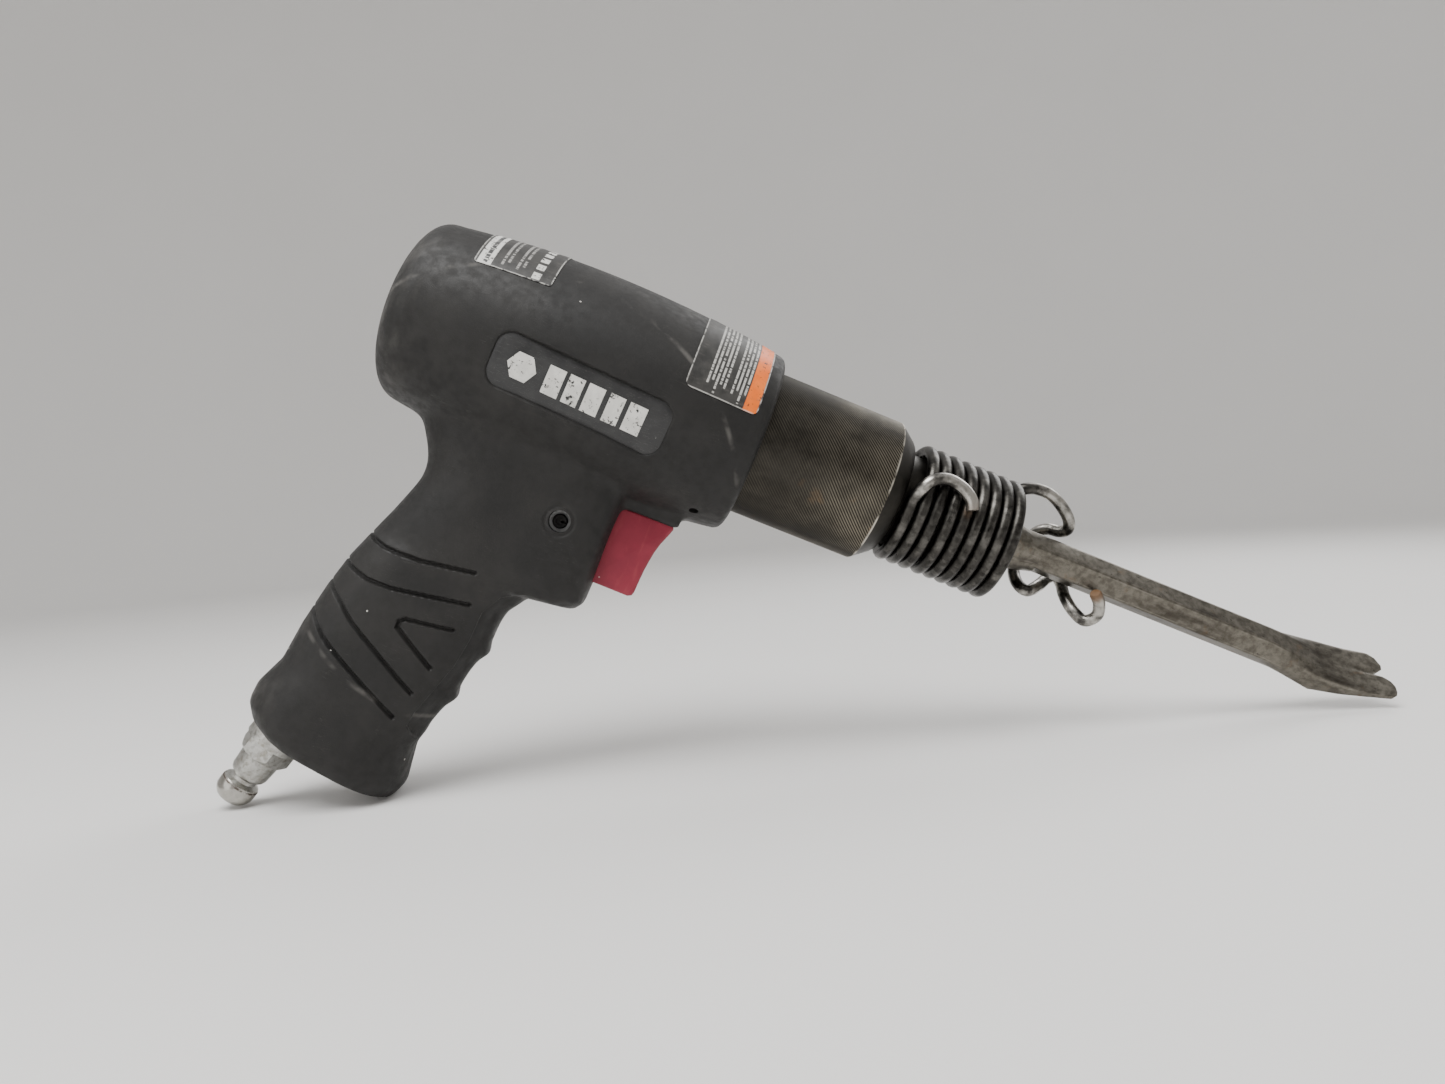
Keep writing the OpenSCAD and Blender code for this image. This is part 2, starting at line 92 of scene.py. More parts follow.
def spunShape(points, steps=96, closed=False):
    # a profile of (x, radius) points turned about the x axis
    bm = bmesh.new()
    verts = [bm.verts.new((x, 0, r)) for x, r in points]
    edges = [bm.edges.new(pair) for pair in zip(verts, verts[1:])]
    if closed:
        edges.append(bm.edges.new((verts[-1], verts[0])))
    bmesh.ops.spin(bm, geom=verts + edges, axis=(1, 0, 0), cent=(0, 0, 0), angle=math.tau, steps=steps, use_merge=True)
    bmesh.ops.remove_doubles(bm, verts=bm.verts, dist=1e-4)
    bmesh.ops.dissolve_degenerate(bm, dist=1e-5, edges=bm.edges)
    bmesh.ops.recalc_face_normals(bm, faces=bm.faces)
    return bm


def barBetween(x0, x1, r0, r1=None, segments=64, place=None):
    # a round bar along x, or along the z axis of "place" when one is given
    bm = bmesh.new()
    turn = Matrix.Rotation(math.pi / 2, 4, "Y") if place is None else place
    bmesh.ops.create_cone(bm, cap_ends=True, segments=segments, radius1=r0, radius2=r0 if r1 is None else r1,
                          depth=x1 - x0, matrix=turn @ Matrix.Translation((0, 0, (x0 + x1) / 2)))
    return bm


def boxBetween(low, high):
    bm = bmesh.new()
    bmesh.ops.create_cube(bm, size=1)
    size = [b - a for a, b in zip(low, high)]
    bmesh.ops.scale(bm, vec=size, verts=bm.verts)
    bmesh.ops.translate(bm, vec=[(a + b) / 2 for a, b in zip(low, high)], verts=bm.verts)
    return bm


def outlineSolid(outline, depth, place):
    # a flat outline of (u, v) points given a thickness along the z axis of "place", centred on it
    bm = bmesh.new()
    face = bm.faces.new([bm.verts.new((u, v, -depth / 2)) for u, v in outline])
    pulled = bmesh.ops.extrude_face_region(bm, geom=[face])["geom"]
    bmesh.ops.translate(bm, vec=(0, 0, depth), verts=[g for g in pulled if isinstance(g, bmesh.types.BMVert)])
    bmesh.ops.transform(bm, matrix=place, verts=bm.verts)
    bmesh.ops.recalc_face_normals(bm, faces=bm.faces)
    return bm


def roundedOutline(length, height, corner, steps=8):
    points = []
    for k, (sx, sy) in enumerate([(1, 1), (-1, 1), (-1, -1), (1, -1)]):
        for i in range(steps + 1):
            a = math.pi / 2 * (k + i / steps)
            points.append((sx * (length / 2 - corner) + corner * math.cos(a), sy * (height / 2 - corner) + corner * math.sin(a)))
    return points


def ringSkin(rings):
    # rings of points with the same count, bridged in turn and closed at both ends
    bm = bmesh.new()
    last = None
    for ring in rings:
        made = bmesh.ops.create_circle(bm, cap_ends=False, segments=len(ring), radius=1)["verts"]
        for vert, point in zip(made, ring):
            vert.co = point
        loop = list({e for v in made for e in v.link_edges})
        if last:
            bmesh.ops.bridge_loops(bm, edges=last + loop)
        else:
            bmesh.ops.edgeloop_fill(bm, edges=loop)
        last = loop
    bmesh.ops.edgeloop_fill(bm, edges=last)
    bmesh.ops.recalc_face_normals(bm, faces=bm.faces)
    return bm


def addShape(bm, other):
    mesh = bpy.data.meshes.new("part")
    other.to_mesh(mesh)
    other.free()
    bm.from_mesh(mesh)
    bpy.data.meshes.remove(mesh)
    return bm


def looseObject(bm, name="work"):
    mesh = bpy.data.meshes.new(name)
    bm.to_mesh(mesh)
    bm.free()
    made = bpy.data.objects.new(name, mesh)
    bpy.context.scene.collection.objects.link(made)
    return made


def appliedShape(worker):
    # the worker object's mesh with its modifiers, as a bmesh; the worker is thrown away
    bpy.context.view_layer.update()
    mesh = bpy.data.meshes.new_from_object(worker.evaluated_get(bpy.context.evaluated_depsgraph_get()))
    bm = bmesh.new()
    bm.from_mesh(mesh)
    bpy.data.meshes.remove(mesh)
    oldMesh = worker.data
    bpy.data.objects.remove(worker)
    if isinstance(oldMesh, bpy.types.Mesh):
        bpy.data.meshes.remove(oldMesh)
    return bm


def cutShape(bm, cutters, operation="DIFFERENCE"):
    worker = looseObject(bm)
    tools = [looseObject(c, "cutter") for c in cutters]
    for tool in tools:
        cut = worker.modifiers.new("cut", "BOOLEAN")
        cut.operation = operation
        cut.solver = "MANIFOLD"
        cut.object = tool
    result = appliedShape(worker)
    for tool in tools:
        mesh = tool.data
        bpy.data.objects.remove(tool)
        bpy.data.meshes.remove(mesh)
    return result


def wireShape(points, radius, bevelSteps=6, endRadius=0.8):
    curve = bpy.data.curves.new("wire", "CURVE")
    curve.dimensions = "3D"
    curve.bevel_depth = radius
    curve.bevel_resolution = bevelSteps
    curve.use_fill_caps = True
    spline = curve.splines.new("POLY")
    spline.points.add(len(points) - 1)
    for point, place in zip(spline.points, points):
        point.co = (*place, 1)
    spline.points[0].radius = spline.points[-1].radius = endRadius
    made = bpy.data.objects.new("wire", curve)
    bpy.context.scene.collection.objects.link(made)
    bm = appliedShape(made)
    bpy.data.curves.remove(curve)
    bmesh.ops.remove_doubles(bm, verts=bm.verts, dist=1e-4)
    bmesh.ops.recalc_face_normals(bm, faces=bm.faces)
    return bm


def softEdges(bm, width, segments=2, angle=30):
    sharp = [e for e in bm.edges if len(e.link_faces) == 2 and e.calc_face_angle() > math.radians(angle)]
    bmesh.ops.bevel(bm, geom=sharp, offset=width, offset_type="OFFSET", segments=segments, profile=0.5,
                    affect="EDGES", clamp_overlap=True, material=-1)
    return bm


def finishPiece(bm, name, body, material, replaced=(), smoothAngle=32):
    bmesh.ops.transform(bm, matrix=toolPlace, verts=bm.verts)
    piece = looseObject(bm, name)
    piece.data.shade_smooth()
    piece.data.set_sharp_from_angle(angle=math.radians(smoothAngle))
    piece.data.materials.clear()
    piece.data.materials.append(material)
    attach(piece, body)
    if replaced:
        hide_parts(*replaced)
    print("made", name, len(piece.data.polygons), "faces")
    return piece


# Shader helpers

def newMaterial(name):
    material = bpy.data.materials.new(name)
    material.use_nodes = True
    tree = material.node_tree
    return material, tree, tree.nodes["Principled BSDF"]


def addNode(tree, kind, inputs=None, **settings):
    made = tree.nodes.new("ShaderNode" + kind)
    for key, value in settings.items():
        setattr(made, key, value)
    for key, value in (inputs or {}).items():
        if isinstance(value, bpy.types.NodeSocket):
            tree.links.new(value, made.inputs[key])
        else:
            made.inputs[key].default_value = value
    return made


def maths(tree, operation, a, b=0.0, clamp=False):
    return addNode(tree, "Math", {0: a, 1: b}, operation=operation, use_clamp=clamp).outputs[0]


def times(tree, a, b, clamp=False):
    return maths(tree, "MULTIPLY", a, b, clamp)


def minus(tree, a, b):
    return maths(tree, "SUBTRACT", a, b)


def rampBetween(tree, value, low, high, toLow=0.0, toHigh=1.0):
    return addNode(tree, "MapRange", {0: value, 1: low, 2: high, 3: toLow, 4: toHigh}, interpolation_type="SMOOTHSTEP").outputs[0]


def mixColour(tree, factor, a, b):
    made = addNode(tree, "Mix", {0: factor}, data_type="RGBA", clamp_factor=True)
    for index, value in ((6, a), (7, b)):
        if isinstance(value, bpy.types.NodeSocket):
            tree.links.new(value, made.inputs[index])
        else:
            made.inputs[index].default_value = (*value, 1)
    return made.outputs[2]


def tinted(tree, colour, mask, amount, tone):
    # the colour with some of a tone laid over it where the mask is 1
    return mixColour(tree, times(tree, mask, amount), colour, tone)


def toolCoords(tree):
    # object coordinates brought to the tool's frame, in millimetres
    coords = addNode(tree, "TexCoord").outputs["Object"]
    return addNode(tree, "Mapping", {"Vector": coords, "Location": toolBack.to_translation(),
                                     "Rotation": toolBack.to_euler(), "Scale": (1000, 1000, 1000)}).outputs[0]


def stretched(tree, coords, scale, offset=(0, 0, 0)):
    return addNode(tree, "Mapping", {"Vector": coords, "Scale": scale, "Location": offset}).outputs[0]


def noiseValue(tree, coords, scale, detail=4.0, roughness=0.55):
    return addNode(tree, "TexNoise", {"Vector": coords, "Scale": scale, "Detail": detail, "Roughness": roughness}).outputs[0]


def patchMask(tree, coords, scale, detail, low, high, roughness=0.55):
    # soft patches of noise between two levels
    return rampBetween(tree, noiseValue(tree, coords, scale, detail, roughness), low, high)


def splitCoords(tree, coords):
    return addNode(tree, "SeparateXYZ", {0: coords}).outputs


def axisDistance(tree, coords):
    parts = splitCoords(tree, coords)
    squares = maths(tree, "ADD", times(tree, parts[1], parts[1]), times(tree, parts[2], parts[2]))
    return maths(tree, "SQRT", squares)


def addBump(tree, shader, height, distance, strength=1.0):
    bump = addNode(tree, "Bump", {"Height": height, "Strength": strength, "Distance": distance})
    tree.links.new(bump.outputs[0], shader.inputs["Normal"])


def specks(tree, coords, scale, size, share):
    # small round specks, on a share of the cells
    cells = addNode(tree, "TexVoronoi", {"Vector": coords, "Scale": scale, "Randomness": 1.0})
    near = maths(tree, "LESS_THAN", cells.outputs["Distance"], size)
    chosen = maths(tree, "LESS_THAN", splitCoords(tree, cells.outputs["Color"])[0], share)
    return times(tree, near, chosen)


# Materials

def bootRubber():
    material, tree, shader = newMaterial("bootRubber")
    coords = toolCoords(tree)
    parts = splitCoords(tree, coords)
    cloud = noiseValue(tree, coords, 0.05, 5)
    streaks = noiseValue(tree, stretched(tree, coords, (0.14, 0.12, 0.08)), 1.0, 5, 0.6)
    grain = noiseValue(tree, coords, 3.2, 3)
    colour = mixColour(tree, rampBetween(tree, cloud, 0.3, 0.75), rubberTones["deep"], rubberTones["faded"])
    # paler towards the rear dome and along the top, broken up by streaks
    domePale = rampBetween(tree, parts[0], -97, -112)
    topPale = rampBetween(tree, parts[2], 17, 33, 0, 0.45)
    rubbed = rampBetween(tree, streaks, 0.42, 0.75)
    paleWash = times(tree, maths(tree, "ADD", domePale, topPale, True), rubbed)
    colour = tinted(tree, colour, paleWash, 0.34, rubberTones["paleWash"])
    # a pale rubbed arc and a few scratches across the body
    fromMiddle = addNode(tree, "VectorMath", {0: stretched(tree, coords, (1, 0, 1), (62, 0, 46))}, operation="LENGTH").outputs["Value"]
    arc = maths(tree, "ABSOLUTE", minus(tree, fromMiddle, 68))
    arcMask = times(tree, rampBetween(tree, arc, 1.1, 0.1), patchMask(tree, coords, 0.12, 3, 0.45, 0.7))
    colour = tinted(tree, colour, arcMask, 0.5, rubberTones["paleWash"])
    scratches = noiseValue(tree, stretched(tree, coords, (0.12, 0.6, 1.4)), 1.0, 2, 0.4)
    hair = times(tree, rampBetween(tree, maths(tree, "ABSOLUTE", minus(tree, scratches, 0.5)), 0.006, 0.001),
                 patchMask(tree, coords, 0.09, 2, 0.56, 0.66))
    colour = tinted(tree, colour, hair, 0.22, rubberTones["paleWash"])
    white = specks(tree, coords, 0.16, 0.055, 0.16)
    colour = tinted(tree, colour, white, 0.7, rubberTones["speck"])
    tree.links.new(colour, shader.inputs["Base Color"])
    roughness = rampBetween(tree, noiseValue(tree, coords, 0.35, 4), 0.3, 0.7, rubberTones["roughLow"], rubberTones["roughHigh"])
    tree.links.new(roughness, shader.inputs["Roughness"])
    shader.inputs["Specular IOR Level"].default_value = rubberTones["gloss"]
    shader.inputs["Sheen Weight"].default_value = rubberTones["sheen"]
    shader.inputs["Sheen Roughness"].default_value = 0.5
    height = maths(tree, "ADD", grain, times(tree, noiseValue(tree, coords, 0.5, 4), 1.5))
    addBump(tree, shader, height, 0.00006, 0.6)
    return material


def wornSteel(name, tones):
    # steel with a mottled base, stains and fine marks along the part
    material, tree, shader = newMaterial(name)
    coords = toolCoords(tree)
    parts = splitCoords(tree, coords)
    mottle = noiseValue(tree, coords, tones.get("mottle", 0.25), 6, 0.6)
    stain = noiseValue(tree, stretched(tree, coords, tones.get("stainStretch", (0.3, 1, 1))), tones.get("stain", 0.12), 5, 0.6)
    colour = mixColour(tree, rampBetween(tree, mottle, 0.3, 0.7), tones["base"], tones["light"])
    colour = mixColour(tree, times(tree, rampBetween(tree, stain, 0.5, 0.72), tones.get("stainAmount", 0.6)), colour, tones["stained"])
    marks = noiseValue(tree, stretched(tree, coords, tones.get("markStretch", (0.15, 3, 3))), 1.0, 3)
    roughness = rampBetween(tree, mottle, 0.25, 0.75, tones["roughLow"], tones["roughHigh"])
    tree.links.new(colour, shader.inputs["Base Color"])
    tree.links.new(roughness, shader.inputs["Roughness"])
    shader.inputs["Metallic"].default_value = tones.get("metallic", 1.0)
    height = maths(tree, "ADD", marks, times(tree, mottle, 1.2))
    addBump(tree, shader, height, tones.get("bump", 0.00003), 0.6)
    return material, tree, shader, coords, parts


def layOver(tree, shader, mask, amount, tone, roughness=None):
    # lays one more tone over the base colour where the mask is 1
    below = shader.inputs["Base Color"].links[0].from_socket
    factor = times(tree, mask, amount, True)
    tree.links.new(mixColour(tree, factor, below, tone), shader.inputs["Base Color"])
    if roughness is not None:
        rough = shader.inputs["Roughness"].links[0].from_socket
        keep = times(tree, rough, minus(tree, 1.0, factor))
        tree.links.new(maths(tree, "ADD", keep, times(tree, factor, roughness)), shader.inputs["Roughness"])


rubberTones = {"deep": (0.0095, 0.0091, 0.0086), "faded": (0.0175, 0.0165, 0.0153), "paleWash": (0.135, 0.128, 0.118),
               "speck": (0.6, 0.58, 0.54), "roughLow": 0.46, "roughHigh": 0.66, "gloss": 0.30, "sheen": 0.015}


def knurledSteel():
    tones = {"base": (0.027, 0.025, 0.022), "light": (0.040, 0.037, 0.032), "stained": (0.02, 0.0185, 0.016), "stainAmount": 0.4,
             "roughLow": 0.36, "roughHigh": 0.5, "mottle": 0.3, "bump": 0.00001}
    material, tree, shader, coords, parts = wornSteel("knurledSteel", tones)
    radius = axisDistance(tree, coords)
    # crests rubbed bright and lit by a painted highlight that grows towards the front, brassy in patches, valleys left
    # black
    crest = rampBetween(tree, radius, barrel["radius"] - 0.2, barrel["radius"] - 0.03)
    onKnurl = maths(tree, "LESS_THAN", parts[0], barrel["knurlEnd"] + 0.2)
    forward = rampBetween(tree, parts[0], 6, 44, 0.22, 1)
    patches = rampBetween(tree, noiseValue(tree, coords, 0.07, 5, 0.6), 0.3, 0.75, 0.25, 1.0)
    # this mask is worn crest metal and a painted highlight together, stronger towards the front
    wear = times(tree, times(tree, crest, onKnurl), times(tree, forward, patches))
    layOver(tree, shader, wear, 0.78, (0.31, 0.275, 0.21), 0.3)
    rust = times(tree, onKnurl, patchMask(tree, stretched(tree, coords, (1, 1, 1), (31, 7, 3)), 0.085, 4, 0.64, 0.74))
    layOver(tree, shader, times(tree, rust, forward), 0.3, (0.30, 0.17, 0.07), 0.6)
    edge = rampBetween(tree, maths(tree, "ABSOLUTE", minus(tree, parts[0], barrel["knurlEnd"])), 0.45, 0.05)
    layOver(tree, shader, times(tree, edge, patchMask(tree, coords, 0.2, 4, 0.4, 0.6)), 0.8, (0.62, 0.58, 0.5), 0.3)
    return material


def springSteel():
    tones = {"base": (0.024, 0.0225, 0.0205), "light": (0.058, 0.055, 0.050), "stained": (0.014, 0.013, 0.012),
             "roughLow": 0.26, "roughHigh": 0.42, "mottle": 0.5, "markStretch": (1.5, 1.5, 1.5), "bump": 0.00004}
    material, tree, shader, coords, parts = wornSteel("springSteel", tones)
    radius = axisDistance(tree, coords)
    outer = rampBetween(tree, radius, retainer["coilRadius"] + 1.1, retainer["coilRadius"] + 2)
    scuff = patchMask(tree, stretched(tree, coords, (0.6, 1, 1)), 0.22, 5, 0.45, 0.68, 0.65)
    layOver(tree, shader, times(tree, outer, scuff), 0.45, (0.24, 0.23, 0.21), 0.28)
    tail = times(tree, rampBetween(tree, parts[1], -19.4, -20.6), rampBetween(tree, parts[2], -2, 3))
    front = maths(tree, "ADD", rampBetween(tree, parts[0], 88, 96), tail, True)
    bright = patchMask(tree, coords, 0.16, 5, 0.36, 0.62, 0.6)
    layOver(tree, shader, times(tree, front, bright), 0.85, (0.50, 0.48, 0.44), 0.27)
    ends = retainer["loop"][-1], retainer["tail"][0]
    for end, amount in zip(ends, (0.9, 0.25)):
        gap = addNode(tree, "VectorMath", {0: coords, 1: Vector(end)}, operation="DISTANCE").outputs["Value"]
        layOver(tree, shader, rampBetween(tree, gap, 4.2, 1.6), amount, (0.20, 0.115, 0.06), 0.75)
    # old grease between the turns near the tail
    greasy = addNode(tree, "VectorMath", {0: coords, 1: Vector((61, -16.5, 3))}, operation="DISTANCE").outputs["Value"]
    inside = rampBetween(tree, radius, retainer["coilRadius"] + 1.2, retainer["coilRadius"] + 0.2)
    smear = patchMask(tree, coords, 0.35, 4, 0.45, 0.6)
    layOver(tree, shader, times(tree, times(tree, rampBetween(tree, greasy, 9, 3), inside), smear), 0.8, (0.30, 0.24, 0.10), 0.35)
    return material


def chiselSteel():
    tones = {"base": (0.095, 0.086, 0.071), "light": (0.185, 0.171, 0.144), "stained": (0.042, 0.036, 0.029), "stain": 0.14,
             "stainStretch": (0.3, 1, 1), "stainAmount": 0.8, "roughLow": 0.30, "roughHigh": 0.48, "mottle": 0.5, "bump": 0.00006,
             "markStretch": (0.35, 1.2, 1.2)}
    material, tree, shader, coords = wornSteel("chiselSteel", tones)[:4]
    worn = addNode(tree, "Attribute", attribute_name="wear", attribute_type="GEOMETRY").outputs["Fac"]
    broken = patchMask(tree, coords, 0.35, 4, 0.35, 0.62)
    layOver(tree, shader, times(tree, worn, broken), 0.7, (0.46, 0.43, 0.37), 0.3)
    pits = patchMask(tree, coords, 0.8, 3, 0.66, 0.74, 0.5)
    layOver(tree, shader, pits, 0.6, (0.05, 0.043, 0.036), 0.7)
    rust = patchMask(tree, stretched(tree, coords, (1, 1, 1), (5, 17, 9)), 0.14, 5, 0.60, 0.72)
    layOver(tree, shader, rust, 0.4, (0.20, 0.125, 0.07), 0.65)
    return material


def triggerPlastic():
    material, tree, shader = newMaterial("triggerPlastic")
    coords = toolCoords(tree)
    cloud = noiseValue(tree, coords, 0.12, 5)
    colour = mixColour(tree, rampBetween(tree, cloud, 0.3, 0.7), (0.205, 0.014, 0.031), (0.26, 0.022, 0.042))
    rubbed = noiseValue(tree, stretched(tree, coords, (1.2, 0.4, 0.3)), 0.6, 4)
    colour = mixColour(tree, times(tree, rampBetween(tree, rubbed, 0.55, 0.75), 0.22), colour, (0.38, 0.08, 0.085))
    worn = addNode(tree, "Attribute", attribute_name="wear", attribute_type="GEOMETRY").outputs["Fac"]
    colour = tinted(tree, colour, worn, 0.25, (0.46, 0.15, 0.15))
    dirt = times(tree, specks(tree, coords, 0.35, 0.08, 0.10), 0.8)
    colour = mixColour(tree, dirt, colour, (0.6, 0.5, 0.46))
    tree.links.new(colour, shader.inputs["Base Color"])
    tree.links.new(rampBetween(tree, rubbed, 0.3, 0.7, 0.36, 0.52), shader.inputs["Roughness"])
    shader.inputs["Specular IOR Level"].default_value = 0.34
    addBump(tree, shader, noiseValue(tree, coords, 1.6, 3), 0.00003, 0.5)
    return material


def zincPlate():
    tones = {"base": (0.30, 0.295, 0.27), "light": (0.46, 0.455, 0.43), "stained": (0.22, 0.19, 0.13), "stain": 0.3,
             "stainStretch": (1, 1, 1), "stainAmount": 0.5, "roughLow": 0.26, "roughHigh": 0.44, "mottle": 0.9, "bump": 0.00002,
             "markStretch": (1, 1, 1)}
    material, tree, shader, coords = wornSteel("zincPlate", tones)[:4]
    cells = addNode(tree, "TexVoronoi", {"Vector": coords, "Scale": 0.9}).outputs["Color"]
    layOver(tree, shader, rampBetween(tree, splitCoords(tree, cells)[0], 0.45, 0.7), 0.35, (0.62, 0.62, 0.6), 0.4)
    # the ball is polished by its coupler, with a rust line at its shoulder
    axial = splitCoords(tree, addNode(tree, "Mapping", {"Vector": coords, "Location": inletPlace.inverted().to_translation(),
                                                       "Rotation": inletPlace.inverted().to_euler()}).outputs[0])[2]
    layOver(tree, shader, rampBetween(tree, axial, -15.0, -15.8), 0.75, (0.42, 0.405, 0.37), 0.17)
    line = rampBetween(tree, maths(tree, "ABSOLUTE", maths(tree, "ADD", axial, 16.1)), 0.42, 0.08)
    layOver(tree, shader, times(tree, line, patchMask(tree, coords, 0.5, 3, 0.35, 0.55)), 0.85, (0.05, 0.03, 0.02), 0.7)
    return material


def paintWear(bm, low, high):
    # stores how convex the surface is at each point, for edge wear in the materials
    bm.normal_update()
    layer = bm.verts.layers.float.new("wear")
    for vert in bm.verts:
        bends = [vert.normal.dot((vert.co - e.other_vert(vert).co).normalized()) for e in vert.link_edges if e.calc_length() > 1e-4]
        bend = max(bends) if bends else 0
        vert[layer] = min(max((bend - low) / (high - low), 0), 1)
    return bm


def plainFinish(name, tones):
    return wornSteel(name, tones)[0]


# Boot: a turned body and a lofted grip, melted into one skin, then its details are pressed in

boot = {"belly": 32.1, "end": 28.3, "back": 115.8, "dome": -104, "bellyX": -54, "front": 1, "sag": 1.2,
        "gripPower": 0.72, "guardPower": 0.34, "roof": ((-42, -9, -34.4), (-11.5, 9, -25)),
        "voxel": 0.96, "blendReach": 26, "blendPasses": 90}
boot["gripRings"] = [  # back x, back z, front x, front z, width
    (-98, -18, -24, -20, 40), (-94.5, -33, -29.4, -32, 36), (-90.9, -38.6, -29.6, -38, 35.4), (-89.1, -43.2, -29.8, -43, 35),
    (-89.1, -47.6, -29.8, -47.5, 35), (-90.7, -52.6, -29.7, -52, 35),
    (-93.4, -60, -29.6, -60, 35), (-95.1, -64, -29.8, -65.8, 35), (-96.3, -67, -32, -68.8, 35), (-97.5, -70, -46, -70.4, 35),
    (-100.3, -77, -50.4, -77, 35), (-103.4, -88, -51.9, -88, 35), (-106.1, -101, -54.9, -101, 35), (-107.6, -113, -58.6, -114, 36),
    (-111.6, -121.8, -62, -125, 38.5), (-112, -127.2, -61.2, -132.5, 40), (-109.3, -131.6, -60.6, -137.6, 39.5),
    (-104.5, -135, -62.4, -141.2, 36), (-97, -136.8, -68.5, -142.4, 26)]
boot["grooves"] = [
    [(-101, -66.5), (-94.4, -69.3), (-89.7, -70.2), (-85, -70.3), (-78.3, -70.1), (-62.5, -67.8)],
    [(-104, -76.5), (-97.8, -79.2), (-90.8, -80.7), (-82.8, -80.5), (-60.6, -77.2)],
    [(-106, -83), (-100.3, -87), (-95.9, -89.7), (-90.2, -94), (-66.9, -107.5)],
    [(-108, -92), (-102.1, -96.7), (-96.5, -101.2), (-88.7, -105.5), (-69.3, -115.8)],
    [(-62.4, -85.9), (-76.2, -87.5), (-77.6, -88.6), (-77.5, -90.5), (-64.5, -98.8)]]
boot["crease"] = [(-40, -64), (-46.4, -68.4), (-53.5, -72.5), (-56.9, -78.5), (-57.3, -87.5), (-58.8, -96.5), (-64.4, -112.9),
                  (-65.2, -117.5), (-62, -121.5), (-55, -123)]
boot["grooveHalf"] = 0.8
boot["grooveDepth"] = 1.25
badge = {"middle": (-52.3, -8.8), "tilt": 3, "length": 54, "height": 17, "corner": 5, "floor": 30.2, "face": 30.78}


def bellyRadius(x):
    reach = boot["bellyX"] - boot["dome"] if x < boot["bellyX"] else boot["front"] - boot["bellyX"]
    return boot["belly"] - (boot["belly"] - boot["end"]) * ((x - boot["bellyX"]) / reach) ** 2


def bodyProfile():
    dome = [(boot["dome"] - (boot["back"] + boot["dome"]) * signedPower(math.cos(a), 0.8), boot["end"] * signedPower(math.sin(a), 0.8))
            for a in np.linspace(0, math.pi / 2, 24)]
    belly = [(x, bellyRadius(x)) for x in np.arange(boot["dome"] + 3, -2.5, 3)]
    rim = [(-2 + 3 * math.sin(a), bellyRadius(-2) - 3 * (1 - math.cos(a))) for a in np.linspace(0, math.pi / 2, 7)]
    return dome + belly + rim + [(boot["front"], 0)]


def gripRing(back, count=56):
    backX, backZ, frontX, frontZ, width = back
    middle = Vector((backX + frontX, 0, backZ + frontZ)) / 2
    reach = Vector((frontX - backX, 0, frontZ - backZ)) / 2
    # the front is squarer where the trigger slides into it
    front = boot["guardPower"] if -66 < frontZ < -25 else boot["gripPower"]
    ring = []
    for a in np.linspace(0, math.tau, count, endpoint=False):
        power = front if math.cos(a) > 0 else boot["gripPower"]
        across = width / 2 * signedPower(math.sin(a), min(power + 0.2, 0.72))
        ring.append(middle + reach * signedPower(math.cos(a), power) + Vector((0, across, 0)))
    return ring


def lineDistance(points, line):
    # distance of each (x, z) point from a line of joined pieces
    best = np.full(len(points), 1e9)
    for a, b in zip(line, line[1:]):
        a, b = np.array(a, float), np.array(b, float)
        t = np.clip(((points - a) @ (b - a)) / ((b - a) @ (b - a)), 0, 1)
        best = np.minimum(best, np.linalg.norm(points - a - t[:, None] * (b - a), axis=1))
    return best


def badgeInset(points):
    # signed distance of (x, z) points from the badge's rounded outline, below zero inside
    tilt = math.radians(badge["tilt"])
    d = points - np.array(badge["middle"])
    u = d[:, 0] * math.cos(tilt) - d[:, 1] * math.sin(tilt)
    v = d[:, 0] * math.sin(tilt) + d[:, 1] * math.cos(tilt)
    qu = np.abs(u) - badge["length"] / 2 + badge["corner"]
    qv = np.abs(v) - badge["height"] / 2 + badge["corner"]
    return np.hypot(np.maximum(qu, 0), np.maximum(qv, 0)) + np.minimum(np.maximum(qu, qv), 0) - badge["corner"]


def vertArray(bm):
    return np.array([v.co for v in bm.verts]), np.array([v.normal for v in bm.verts])


def creaseStep(points):
    # how far a point lies in front of the side panel's edge
    line = np.array(boot["crease"])
    edge = np.interp(-points[:, 1], -line[:, 1], line[:, 0])
    return points[:, 0] - edge


